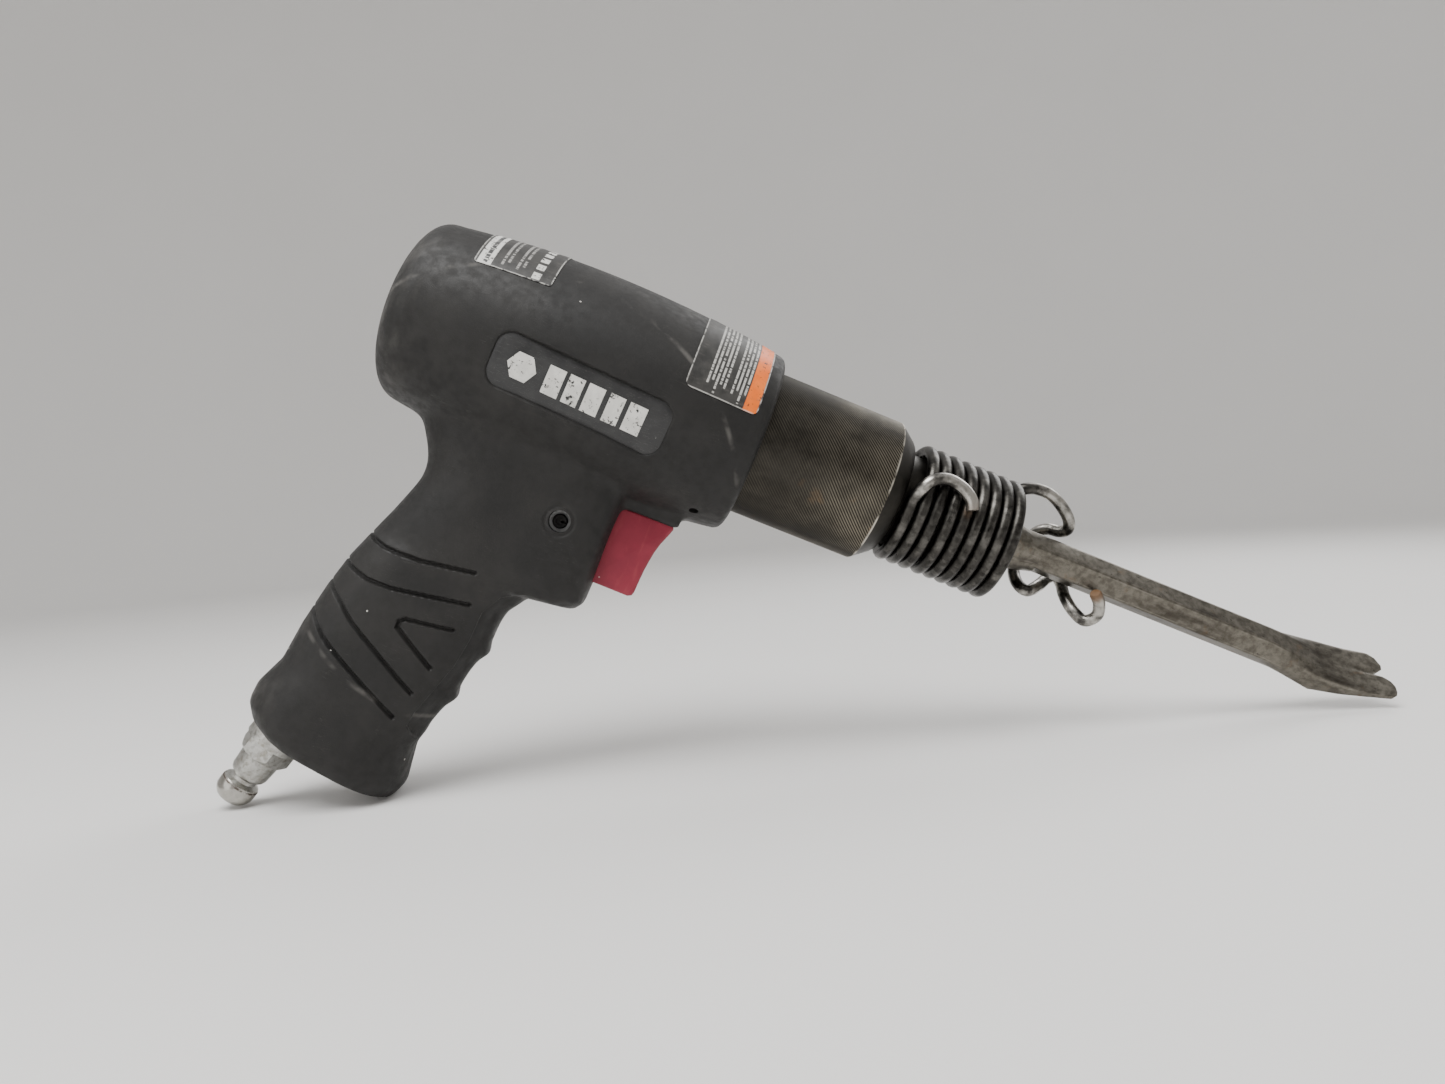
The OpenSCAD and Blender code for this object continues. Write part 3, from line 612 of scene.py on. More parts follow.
def bootDetail(places, normals):
    flat = places[:, [0, 2]]
    side = np.abs(normals[:, 1])
    moved = np.zeros_like(places)
    onGrip = places[:, 2] < -40
    for line in boot["grooves"]:
        gap = lineDistance(flat, line)
        depth = boot["grooveDepth"] * smoothStep((boot["grooveHalf"] - gap) / (boot["grooveHalf"] * 0.75))
        moved -= normals * (depth * onGrip * (normals[:, 0] < 0.6))[:, None]
    # the finger side of the grip lies lower than the side panels and has two ridges
    ahead = creaseStep(flat)
    window = smoothStep((-68 - places[:, 2]) / 5) * smoothStep((places[:, 2] + 124) / 5)
    moved -= normals * (1.6 * smoothStep(ahead / 1.2) * window * smoothStep(side / 0.5))[:, None]
    ridges = np.exp(-((places[:, 2] + 91) / 2.4) ** 2) + np.exp(-((places[:, 2] + 107.3) / 2.4) ** 2)
    hollows = sum(np.exp(-((places[:, 2] - z) / 5) ** 2) for z in (-81, -99, -116))
    moved[:, 0] += (1.35 * ridges - 0.5 * hollows) * smoothStep((ahead - 0.5) / 5) * window * np.clip(normals[:, 0], 0, 1)
    # badge recesses on both sides
    inset = smoothStep(-badgeInset(flat) / 0.7) * (side > 0.35) * (places[:, 2] > -24)
    radius = np.hypot(places[:, 1], places[:, 2] + boot["sag"])
    pull = np.minimum(badge["floor"] - radius, 0) * inset
    moved[:, 1] += places[:, 1] / radius * pull
    moved[:, 2] += (places[:, 2] + boot["sag"]) / radius * pull
    # a moulded ring round the pin's hole
    hole = np.hypot(flat[:, 0] + 45.2, flat[:, 1] + 44.7)
    moved -= normals * (0.35 * np.exp(-((hole - 4.3) / 0.5) ** 2) * (side > 0.5))[:, None]
    return moved


def detailBand(places, normals):
    flat = places[:, [0, 2]]
    near = np.minimum.reduce([lineDistance(flat, line) for line in boot["grooves"]]) < 2.1
    near &= (places[:, 2] < -60) & (normals[:, 0] < 0.6)
    ahead = np.abs(creaseStep(flat) - 0.8)
    near |= (ahead < 1.6) & (places[:, 2] < -66) & (places[:, 2] > -124)
    near |= (np.abs(badgeInset(flat) + 0.3) < 1.3) & (places[:, 2] > -24) & (np.abs(normals[:, 1]) > 0.35)
    near |= np.abs(np.hypot(flat[:, 0] + 45.2, flat[:, 1] + 44.7) - 4.3) < 1.6
    return near


def makeBoot():
    body = spunShape(bodyProfile(), 128)
    bmesh.ops.translate(body, vec=(0, 0, -boot["sag"]), verts=body.verts)
    grip = ringSkin([gripRing(r) for r in boot["gripRings"]])
    bmesh.ops.triangulate(body, faces=body.faces)
    bmesh.ops.triangulate(grip, faces=grip.faces)
    bodyTree, gripTree = BVHTree.FromBMesh(body), BVHTree.FromBMesh(grip)
    roof = softEdges(boxBetween(*boot["roof"]), 0.8, 2)
    worker = looseObject(addShape(addShape(body, grip), roof))
    remesh = worker.modifiers.new("melt", "REMESH")
    remesh.mode = "VOXEL"
    remesh.voxel_size = boot["voxel"]
    skin = appliedShape(worker)
    # the joint between body and grip is smoothed most, the rest only a little
    weights = [0.0] * len(skin.verts)
    for k, vert in enumerate(skin.verts):
        gap = max(bodyTree.find_nearest(vert.co)[3], gripTree.find_nearest(vert.co)[3])
        nearTrigger = vert.co.x > -46 and vert.co.z < -26
        weights[k] = float(smoothStep(1 - gap / boot["blendReach"])) * (0.12 if nearTrigger else 1)
    worker = looseObject(skin)
    group = worker.vertex_groups.new(name="joint")
    for k, weight in enumerate(weights):
        if weight > 0.01:
            group.add([k], weight, "REPLACE")
    melt = worker.modifiers.new("smooth joint", "SMOOTH")
    melt.vertex_group = "joint"
    melt.factor = 0.5
    melt.iterations = boot["blendPasses"]
    even = worker.modifiers.new("smooth all", "SMOOTH")
    even.factor = 0.5
    even.iterations = 3
    skin = appliedShape(worker)
    # finer faces where details go
    skin.normal_update()
    near = detailBand(*vertArray(skin))
    chosen = [e for e in skin.edges if near[e.verts[0].index] and near[e.verts[1].index]]
    bmesh.ops.subdivide_edges(skin, edges=chosen, cuts=2, use_grid_fill=True)
    skin.normal_update()
    places, normals = vertArray(skin)
    moved = bootDetail(places, normals)
    for vert, step in zip(skin.verts, moved):
        vert.co += Vector(step)
    bmesh.ops.triangulate(skin, faces=[f for f in skin.faces if len(f.verts) > 4])
    skin = cutShape(skin, bootCutters())
    print("boot skin", len(skin.faces), "faces")
    return finishPiece(skin, "bootSkin", "root", bootRubber(), ["rubber_boot"], 40)


def bootCutters():
    handle = inletPlace @ Matrix.Translation((8, 0, 0))
    slot = roundedOutline(38.4, 26.2, 13.05, 16)
    sideways = Matrix.Translation((-45.2, 0, -44.7)) @ Matrix.Rotation(math.pi / 2, 4, "X")
    return [
        barBetween(-104.2, -2.1, 25.5, segments=96), barBetween(-110.1, -104, 19.1, 25.5, segments=96),
        outlineSolid(slot, 112, handle @ Matrix.Translation((0, 0, 14.9 + 56))),
        boxBetween((-83.1, -12.1, -62.1), (-39.9, 12.1, -12)), boxBetween((-41, -9.1, -62.1), (-34.9, 9.1, -12)),
        barBetween(-3.2, 2, 23.0, segments=128), boxBetween((-38.6, -7.5, -59.1), (-10.5, 7.5, -33.3)),
        barBetween(-30, 30, 3.3, segments=40, place=sideways), barBetween(-40, -20, 1.5, segments=24, place=lockPlace),
        barBetween(-10, 20, 8.6, place=inletPlace),
        barBetween(-14, 18, 7.1, place=inletPlace @ Matrix.Translation((inlet["exhaustX"], 0, 0)))]


# Barrel sleeve with a cut diamond knurl

barrel = {"radius": 22.8, "knurlStart": -1.6, "knurlEnd": 42, "pitch": 0.55, "depth": 0.27, "steps": 260}


def makeBarrel():
    knurl = np.arange(barrel["knurlStart"], barrel["knurlEnd"], barrel["pitch"])
    outer = [(-61.9, 20.9), (-2.2, 20.9), (-2.0, 22.5)]
    outer += [(x, barrel["radius"]) for x in knurl]
    outer += [(42.1, 22.7), (42.6, 22.2), (44.5, 20.8), (46.9, 18.95), (47.6, 18.2), (47.9, 17.4), (48, 15.6), (48.2, 15.1), (48.6, 15)]
    outer += [(x, 15) for x in (60, 78.6)] + [(79.3, 14.7), (79.6, 14.2), (79.6, 9.5)]
    inner = [(-61.9, 9.5)]
    bm = spunShape(outer + inner, barrel["steps"], closed=True)
    first = knurl[0]
    for vert in bm.verts:
        radius = math.hypot(vert.co.y, vert.co.z)
        if abs(radius - barrel["radius"]) < 0.02 and first - 0.01 <= vert.co.x <= knurl[-1] + 0.01:
            row = round((vert.co.x - first) / barrel["pitch"])
            column = round(math.atan2(vert.co.y, vert.co.z) / math.tau * barrel["steps"])
            if (row + column) % 2:
                vert.co.y *= 1 - barrel["depth"] / radius
                vert.co.z *= 1 - barrel["depth"] / radius
    bm = cutShape(bm, [barBetween(-26, -17.5, 1.9, segments=24, place=lockPlace)])
    return finishPiece(bm, "barrelSleeve", "root", knurledSteel(), ["barrel"], 20)


# Coil retainer

retainer = {"wire": 3.9, "coilRadius": 17.6, "pitch": 4.08, "gap": 0.7, "start": 50.6, "turns": 8.72, "stepsPerTurn": 48}
retainer["tail"] = [(67.8, -21.4, 3.4), (66.4, -21.1, 6.3), (63, -20.3, 8.6), (58.5, -19.6, 9.5), (54.8, -19.9, 8.2), (52.2, -20.1, 5.4)]
retainer["loop"] = [
    (88, 0.4, 18.7), (91.5, 1, 20.1), (95.9, 0.6, 20.1), (100.5, 0.6, 18.4), (105, 1.5, 15.4), (107, 3, 12.4), (105.4, 5, 10.7),
    (102.1, 7.4, 10.2), (99.4, 9.4, 7.4), (98, 10.4, 1), (97, 9.2, -5.2), (98, 4.4, -9.9), (100.9, 1, -11.4), (104.8, 3.8, -8.4),
    (108.2, 7.6, -4.8), (111, 8.9, -2.8), (113.4, 7.6, -4.8), (114.6, 4, -8.4), (117.6, 0.8, -11.9), (121.4, -1.6, -13.6),
    (123.6, -3.8, -10.8), (121.8, -6.2, -7.2), (118.4, -8.2, -4.6)]


def coilPoint(turn):
    angle = math.tau * turn
    x = retainer["start"] + retainer["pitch"] * turn + retainer["gap"] * float(smoothStep(turn - 2.4))
    return x, -retainer["coilRadius"] * math.cos(angle), -retainer["coilRadius"] * math.sin(angle)


def smoothRoute(points, steps):
    # a curve through the points, from the second to the last but one
    route = []
    for k in range(1, len(points) - 2):
        a, b, c, d = (np.array(p, float) for p in points[k - 1:k + 3])
        for u in np.arange(steps) / steps:
            route.append(tuple(0.5 * (2 * b + (c - a) * u + (2 * a - 5 * b + 4 * c - d) * u * u + (3 * b - a - 3 * c + d) * u ** 3)))
    return route


def beyond(last, before):
    return tuple(2 * a - b for a, b in zip(last, before))


def makeRetainer():
    tail, loop, turns = retainer["tail"], retainer["loop"], retainer["turns"]
    route = smoothRoute([beyond(tail[0], tail[1])] + tail + [coilPoint(0), coilPoint(0.06)], 8)
    route += [coilPoint(t) for t in np.arange(0, turns, 1 / retainer["stepsPerTurn"])]
    route += smoothRoute([coilPoint(turns - 0.08), coilPoint(turns + 0.012)] + loop + [beyond(loop[-1], loop[-2])], 7) + [loop[-1]]
    ends = [tuple(np.array(route[0]) + (np.array(route[0]) - np.array(route[1])) * 0.3)]
    bm = wireShape(ends + route, retainer["wire"] / 2, 6)
    return finishPiece(bm, "retainerWire", "retainer", springSteel(), ["retainer_spring"], 50)


# Forked chisel

chisel = {"shank": 10.19, "flats": 11.1, "tip": 223.2, "turn": 41, "rise": 0.9, "ring": 96, "groove": 0.8, "grooveBack": 18}
chisel["fork"] = [(-30, 9.6), (-9.5, 8.7), (-6.4, 7.9), (-4.6, 6.2), (-3.2, 3.4), (-3.3, 1.7), (-4.3, 0.9), (-5.6, 0.35), (-5.4, -0.25),
                  (-3.4, -1.0), (-1.2, -2.6), (-0.2, -4.4), (0, -6.6), (-0.3, -8.0), (-1.4, -8.7), (-30, -9.6)]
chisel["blade"] = [  # behind the tip, bend, width, thickness
    (23.3, -0.3, 16.4, 8), (14.3, 2, 17, 5.2), (7.3, 4.7, 17, 3.2), (0, 8, 17, 2)]


def evenRing(points, count):
    # the closed outline resampled at even steps, from its first point
    loop = np.array(points + points[:1])
    run = np.concatenate([[0], np.cumsum(np.linalg.norm(np.diff(loop, axis=0), axis=1))])
    return [Vector([float(np.interp(s, run, loop[:, k])) for k in range(3)]) for s in np.linspace(0, run[-1], count, endpoint=False)]


def barRing(x):
    points = []
    corner = chisel["flats"] / 2 / math.cos(math.pi / 6)
    for a in np.linspace(0, math.tau, 360, endpoint=False):
        r = min(chisel["flats"] / 2 / math.cos(a % (math.pi / 3) - math.pi / 6), corner * 0.97)
        points.append((x, r * math.sin(a), r * math.cos(a)))
    return evenRing(points, chisel["ring"])


def bladeRing(back, bend, width, thick):
    points = []
    for a in np.linspace(0, math.tau, 720, endpoint=False):
        points.append((chisel["tip"] - back, -bend + thick / 2 * signedPower(math.sin(a), 0.3), width / 2 * signedPower(math.cos(a), 0.3)))
    ring = evenRing(points, chisel["ring"])
    depth = chisel["groove"] * float(smoothStep(1 - back / chisel["grooveBack"]))
    for point in ring:
        if point.y < -bend:
            point.y += depth * math.exp(-((point.z - 0.3) / 0.9) ** 2)
    return ring


def makeChisel():
    tip = chisel["tip"]
    places = chisel["blade"]
    rings = [barRing(x) for x in (84, 120, 160, 181)]
    first = bladeRing(*places[0])
    last = barRing(181)
    for share in (0.15, 0.3, 0.5, 0.7, 0.85):
        rings.append([a.lerp(b, share) for a, b in zip(last, first)])
    backs = np.linspace(places[0][0], 0, 15)
    table = np.array(places)[::-1]
    for back in backs:
        bend, width, thick = (float(np.interp(back, table[:, 0], table[:, k])) for k in (1, 2, 3))
        rings.append(bladeRing(float(back), bend, width, thick))
    bar = ringSkin(rings)
    # outline of the fork, with one prong worn shorter
    outline = [(80, -12), (80, 12)] + [(tip + x, z) for x, z in chisel["fork"]]
    bar = cutShape(bar, [outlineSolid(outline[::-1], 40, Matrix.Rotation(math.pi / 2, 4, "X"))], "INTERSECT")
    turned = Matrix.Translation((0, 0, chisel["rise"])) @ Matrix.Rotation(math.radians(-chisel["turn"]), 4, "X")
    bmesh.ops.transform(bar, matrix=turned, verts=bar.verts)
    half = chisel["shank"] / 2
    shank = [(38.5, 0), (38.5, 4.3), (39.2, half), (79.9, half), (80, 5.6), (80.2, 9), (80.7, 9.3), (87.2, 9.3), (87.9, 8.9), (88.2, 8.2),
             (99, 5.4), (99, 0)]
    bm = cutShape(spunShape(shank, 96), [bar], "UNION")
    bm = softEdges(bm, 0.25, 2, 32)
    paintWear(bm, 0.10, 0.45)
    return finishPiece(bm, "forkedChisel", "chisel", chiselSteel(), ["chisel"], 30)


# Trigger

trigger = {"width": 14, "travel": 6, "stemRadius": 6.05, "drop": 44.7, "pinX": -45.2, "round": 0.8}
trigger["outline"] = [
    (-32, -34.3), (-13.9, -33.6), (-12.9, -33.9), (-12.6, -34.9), (-13.5, -37.4), (-14.7, -40.4), (-15.5, -43.4), (-16, -46.4),
    (-16.4, -49.6), (-16.6, -52.6), (-16.8, -57), (-17.2, -58.2), (-18.4, -58.8), (-32, -58.6)]


def makeTrigger():
    upright = Matrix.Rotation(math.pi / 2, 4, "X")
    pad = outlineSolid(trigger["outline"], trigger["width"], upright)
    pad = softEdges(pad, trigger["round"], 4, 50)
    drop = Matrix.Translation((0, 0, -trigger["drop"])) @ Matrix.Rotation(math.pi / 2, 4, "Y")
    stem = barBetween(-50.5, -31, trigger["stemRadius"], segments=64, place=drop)
    bm = cutShape(pad, [stem], "UNION")
    slot = roundedOutline(trigger["travel"] + 4.9, 4.9, 2.44, 8)
    middle = Matrix.Translation((trigger["pinX"] + trigger["travel"] / 2, 0, -trigger["drop"]))
    bm = cutShape(bm, [outlineSolid(slot, 30, middle @ upright)])
    paintWear(bm, 0.12, 0.5)
    return finishPiece(bm, "triggerPad", "trigger", triggerPlastic(), ["trigger"], 35)


# Roll pin that holds the trigger; its bore is closed a little inside each end by a solid dark core, painted shade
# standing in for the dark inside of the hole

pin = {"radius": 2.25, "bore": 1.4, "half": 14.5, "soft": 0.4, "shadeCoreEnd": 12.6, "slit": 0.3}


def makePin():
    radius, bore, half, soft, shadeCoreEnd = (pin[key] for key in ("radius", "bore", "half", "soft", "shadeCoreEnd"))
    # the bore stops short of the middle, where the solid core is painted shade
    ends = [(shadeCoreEnd, 0), (shadeCoreEnd, bore), (half, bore), (half, radius - soft), (half - soft, radius)]
    bm = spunShape([(-x, r) for x, r in ends] + ends[::-1], 64)
    place = Matrix.Translation((trigger["pinX"], 0, -trigger["drop"]))
    bmesh.ops.transform(bm, matrix=place @ Matrix.Rotation(math.pi / 2, 4, "Z"), verts=bm.verts)
    slit = boxBetween((0, -half - 1, -pin["slit"]), (radius + 1, half + 1, pin["slit"]))
    bmesh.ops.transform(slit, matrix=place, verts=slit.verts)
    bm = cutShape(bm, [slit])
    return finishPiece(bm, "rollPin", "root", plainFinish("pinSteel", innerTones["pinSteel"]), ["trigger_pin"], 35)


# Throttle spring, which the trigger squeezes

throttleCoil = {"front": -70.4, "back": -81.9, "radius": 3.6, "wire": 0.9, "turns": 5, "steps": 24, "keep": 0.52}


def makeThrottleCoil():
    front, back, radius, steps = (throttleCoil[key] for key in ("front", "back", "radius", "steps"))
    total = throttleCoil["turns"] * steps
    route = []
    for k in range(total + 1):
        angle = math.tau * k / steps
        route.append((front + (back - front) * k / total, radius * math.cos(angle), radius * math.sin(angle) - trigger["drop"]))
    bm = wireShape(route, throttleCoil["wire"] / 2, 3, 0.9)
    material = plainFinish("coilWire", innerTones["coilWire"])
    piece = finishPiece(bm, "throttleCoil", "root", material, ["throttle_spring"], 50)
    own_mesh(piece)


# Air plug

plug = {"flats": 14.3, "turn": 22}
plug["profile"] = [  # below the inlet, radius
    (-21.7, 3), (-21.7, 4.0), (-21.4, 4.5), (-20.4, 5.3), (-19.3, 5.85), (-17.6, 5.95), (-16.2, 5.9), (-15.5, 5.55), (-15, 4.6),
    (-14.7, 4.05), (-14.2, 3.95), (-13.6, 4.05), (-13.2, 4.7), (-12.6, 5.35), (-11.6, 5.75),
    (-5.5, 6.25), (-1.2, 6.3), (-1, 6.55), (11, 6.55), (11, 3)]


def makePlug():
    bm = spunShape([(-x, r) for x, r in plug["profile"]], 96, closed=True)
    bmesh.ops.rotate(bm, cent=(0, 0, 0), matrix=Matrix.Rotation(math.pi / 2, 3, "Y"), verts=bm.verts)
    nutTurn = Matrix.Rotation(math.radians(plug["turn"]), 4, "Z")
    nut = barBetween(-5.6, -0.7, plug["flats"] / 2 / math.cos(math.pi / 6), segments=6, place=nutTurn)
    cone = barBetween(-5.8, -0.65, 6.9, 11, segments=64, place=Matrix.Identity(4))
    nut = cutShape(nut, [cone], "INTERSECT")
    nut = cutShape(nut, [barBetween(-7, 1, 5.2, segments=64, place=Matrix.Identity(4))])
    bm = cutShape(bm, [nut], "UNION")
    bmesh.ops.transform(bm, matrix=inletPlace, verts=bm.verts)
    return finishPiece(bm, "airPlug", "root", zincPlate(), ["air_plug"], 30)


# Badges in the side recesses: a curved glossy panel with plain worn marks

badge["marks"] = {"emblem": (-17.6, 5.4), "emblemInsets": (1.1, 0.9),  # a place along the badge, then a radius
                  "bars": [(-8.0, 5.0, 8.2), (-2.0, 4.6, 8.2), (4.0, 5.0, 8.2), (10.4, 4.6, 8.2), (16.8, 5.4, 8.2)]}


def badgePlace(u, v, radius, side):
    tilt = math.radians(badge["tilt"])
    x = badge["middle"][0] + u * math.cos(tilt) + v * math.sin(tilt)
    z = badge["middle"][1] - u * math.sin(tilt) + v * math.cos(tilt)
    drop = z + boot["sag"]
    return Vector((x, side * math.sqrt(radius ** 2 - drop ** 2), z))


def finishFilm(bm, thickness):
    # gives a thin curved sheet its thickness, inwards, after its faces are turned to point out
    bm.normal_update()
    middle = sum((f.normal.dot(Vector((0, f.calc_center_median().y, f.calc_center_median().z))) for f in bm.faces))
    if middle < 0:
        bmesh.ops.reverse_faces(bm, faces=bm.faces)
    bm.normal_update()
    bmesh.ops.solidify(bm, geom=bm.faces[:], thickness=thickness)
    return bm


def roundedGrid(length, height, corner, across, up):
    # a grid whose outer corners are drawn in to the rounded outline, as (vertex, u, v)
    bm = bmesh.new()
    bmesh.ops.create_grid(bm, x_segments=across, y_segments=up, size=0.5)
    for vert in bm.verts:
        u, v = vert.co.x * length, vert.co.y * height
        du, dv = abs(u) - length / 2 + corner, abs(v) - height / 2 + corner
        if du > 0 and dv > 0:
            reach = max(du, dv) / math.hypot(du, dv)
            u, v = math.copysign(length / 2 - corner + du * reach, u), math.copysign(height / 2 - corner + dv * reach, v)
        vert.co = (u, v, 0)
    return bm


def badgeGloss():
    material, tree, shader = newMaterial("badgeGloss")
    coords = toolCoords(tree)
    haze = noiseValue(tree, coords, 0.18, 5)
    colour = mixColour(tree, rampBetween(tree, haze, 0.35, 0.75), (0.012, 0.012, 0.0125), (0.024, 0.024, 0.024))
    fine = noiseValue(tree, stretched(tree, coords, (0.2, 1, 1.6)), 1, 2)
    hair = rampBetween(tree, maths(tree, "ABSOLUTE", minus(tree, fine, 0.5)), 0.008, 0.001)
    colour = tinted(tree, colour, hair, 0.12, (0.3, 0.29, 0.27))
    colour = mixColour(tree, times(tree, specks(tree, coords, 0.5, 0.06, 0.12), 0.5), colour, (0.4, 0.39, 0.36))
    tree.links.new(colour, shader.inputs["Base Color"])
    tree.links.new(rampBetween(tree, haze, 0.3, 0.7, 0.34, 0.5), shader.inputs["Roughness"])
    addBump(tree, shader, noiseValue(tree, coords, 1.5, 3), 0.00002, 0.5)
    return material


def badgePaint():
    material, tree, shader = newMaterial("badgePaint")
    coords = toolCoords(tree)
    chips = maths(tree, "ADD", noiseValue(tree, coords, 0.9, 5, 0.7), times(tree, noiseValue(tree, coords, 0.25, 2), 0.35))
    gone = rampBetween(tree, chips, 0.76, 0.80)
    tint = mixColour(tree, patchMask(tree, coords, 0.3, 4, 0.3, 0.7), (0.58, 0.57, 0.53), (0.70, 0.69, 0.65))
    colour = mixColour(tree, gone, tint, (0.02, 0.02, 0.02))
    tree.links.new(colour, shader.inputs["Base Color"])
    tree.links.new(rampBetween(tree, chips, 0.4, 0.8, 0.42, 0.6), shader.inputs["Roughness"])
    addBump(tree, shader, chips, 0.00003, 0.5)
    return material


def makeBadge(side, gloss, paint):
    name, node = ("badgeRight", "badge_right") if side < 0 else ("badgeLeft", "badge_left")
    bm = roundedGrid(badge["length"] - 0.5, badge["height"] - 0.5, badge["corner"] - 0.3, 54, 18)
    for vert in bm.verts:
        u, v = vert.co.x, vert.co.y
        flat = badgePlace(u, v, badge["face"], side)
        inset = badgeInset(np.array([[flat.x, flat.z]]))[0]
        rolled = 0.25 * (1 - float(smoothStep((-inset - 0.25) / 0.9)))
        vert.co = badgePlace(u, v, badge["face"] - rolled, side)
    finishPiece(finishFilm(bm, 0.3), name, "root", gloss, [node], 50)
    marks = bmesh.new()
    u0, r = badge["marks"]["emblem"]
    hexagon = [(u0 + r * math.cos(a), r * math.sin(a)) for a in np.linspace(0, math.tau, 6, endpoint=False)]
    shapes = [hexagon]
    for u, width, height in badge["marks"]["bars"]:
        shapes.append([(u + sx * width / 2, sy * height / 2) for sx, sy in ((-1, -1), (1, -1), (1, 1), (-1, 1))])
    for k, shape in enumerate(shapes):
        face = marks.faces.new([marks.verts.new((side * -u, v, 0)) for u, v in shape])
        if k == 0:
            for thickness in badge["marks"]["emblemInsets"]:
                bmesh.ops.inset_individual(marks, faces=[face], thickness=thickness, use_even_offset=True)
            gapRing = [f for f in marks.faces if f is not face and any(v in face.verts for v in f.verts)]
            bmesh.ops.delete(marks, geom=gapRing, context="FACES")
    cuts = [((cut, 0, 0), (1, 0, 0)) for cut in np.arange(-24, 24, 1.0)] + [((0, cut, 0), (0, 1, 0)) for cut in np.arange(-7.5, 8, 1.0)]
    for place, normal in cuts:
        bmesh.ops.bisect_plane(marks, geom=marks.verts[:] + marks.edges[:] + marks.faces[:], plane_co=place, plane_no=normal)
    for vert in marks.verts:
        vert.co = badgePlace(vert.co.x, vert.co.y, badge["face"] + 0.06, side)
    finishPiece(finishFilm(marks, 0.055), name + "Marks", "root", paint)


# Printed films on top of the boot

films = {
    "dataLabel": {"node": "data_label", "slot": "data_film", "from": -94, "to": -71, "half": 56, "corner": 1},
    "warningLabel": {"node": "warning_label", "slot": "warning_film", "from": -26, "to": -3.5, "half": 79, "corner": 2}}


def printedFilm(name, length, arc):
    material, tree, shader = newMaterial(name)
    uv = addNode(tree, "UVMap", uv_map="film").outputs[0]
    parts = splitCoords(tree, stretched(tree, uv, (length, arc, 1)))
    coords = toolCoords(tree)
    haze = noiseValue(tree, coords, 0.25, 5)
    colour = mixColour(tree, rampBetween(tree, haze, 0.3, 0.7), (0.026, 0.0255, 0.0245), (0.045, 0.043, 0.040))
    return material, tree, shader, parts, coords, haze, colour


def bandMask(tree, value, low, high, soft=0.12):
    rise = rampBetween(tree, minus(tree, value, low), -soft, soft)
    fall = rampBetween(tree, minus(tree, high, value), -soft, soft)
    return times(tree, rise, fall)


def printLines(tree, parts, first, pitch, count, share, lowV, highV, seed):
    # rows of broken dashes that run round the tool
    row = maths(tree, "DIVIDE", minus(tree, parts[0], first), pitch)
    number = maths(tree, "FLOOR", row)
    inRow = bandMask(tree, maths(tree, "FRACT", row), 0.22, 0.22 + share, 0.05)
    counted = times(tree, maths(tree, "GREATER_THAN", row, 0.0), maths(tree, "LESS_THAN", row, float(count)))
    along = addNode(tree, "CombineXYZ", {0: times(tree, number, 3.7), 1: times(tree, parts[1], 1.15), 2: float(seed)}).outputs[0]
    dash = patchMask(tree, along, 1.0, 2, 0.40, 0.46, 0.5)
    ragged = times(tree, maths(tree, "SINE", times(tree, number, 2.3)), 2.2)
    length = bandMask(tree, parts[1], maths(tree, "ADD", ragged, lowV), minus(tree, highV, ragged), 0.2)
    return times(tree, times(tree, inRow, counted), times(tree, dash, length))


def closeFilm(tree, shader, colour, coords, haze, parts, length, arc):
    # worn pale rim and scuffs shared by both films
    rim = maths(tree, "MINIMUM", maths(tree, "MINIMUM", parts[0], minus(tree, length, parts[0])),
                maths(tree, "MINIMUM", parts[1], minus(tree, arc, parts[1])))
    pale = times(tree, rampBetween(tree, rim, 0.5, 0.2), patchMask(tree, coords, 0.5, 4, 0.35, 0.5))
    colour = tinted(tree, colour, pale, 0.7, (0.5, 0.49, 0.46))
    scuff = patchMask(tree, stretched(tree, coords, (0.3, 1, 1)), 0.5, 5, 0.56, 0.72, 0.65)
    colour = tinted(tree, colour, scuff, 0.32, (0.14, 0.13, 0.12))
    tree.links.new(colour, shader.inputs["Base Color"])
    tree.links.new(rampBetween(tree, haze, 0.3, 0.7, 0.32, 0.52), shader.inputs["Roughness"])
    shader.inputs["Specular IOR Level"].default_value = 0.34
    addBump(tree, shader, noiseValue(tree, coords, 0.8, 4), 0.00005, 0.5)


def dataPrint(length, arc):
    material, tree, shader, parts, coords, haze, colour = printedFilm("dataPrint", length, arc)
    chips = patchMask(tree, coords, 0.9, 4, 0.62, 0.56, 0.7)
    white = times(tree, bandMask(tree, parts[0], 0.9, 4.9), chips)
    colour = mixColour(tree, white, colour, (0.62, 0.61, 0.58))
    marks = printLines(tree, parts, 1.9, 2.4, 1, 0.5, 1.0, arc - 1, 3)
    colour = mixColour(tree, marks, colour, (0.05, 0.05, 0.05))
    for first, count, seed in ((7, 2, 1), (11.4, 2, 2)):
        lines = times(tree, printLines(tree, parts, first, 1.5, count, 0.5, 2.0, arc - 2, seed), chips)
        colour = tinted(tree, colour, lines, 0.8, (0.36, 0.35, 0.33))
    row = times(tree, bandMask(tree, parts[0], 16.8, 19.2), chips)
    block = times(tree, row, bandMask(tree, maths(tree, "FRACT", maths(tree, "DIVIDE", parts[1], 4.2)), 0.15, 0.8, 0.03))
    colour = mixColour(tree, block, colour, (0.6, 0.59, 0.56))
    closeFilm(tree, shader, colour, coords, haze, parts, length, arc)
    return material


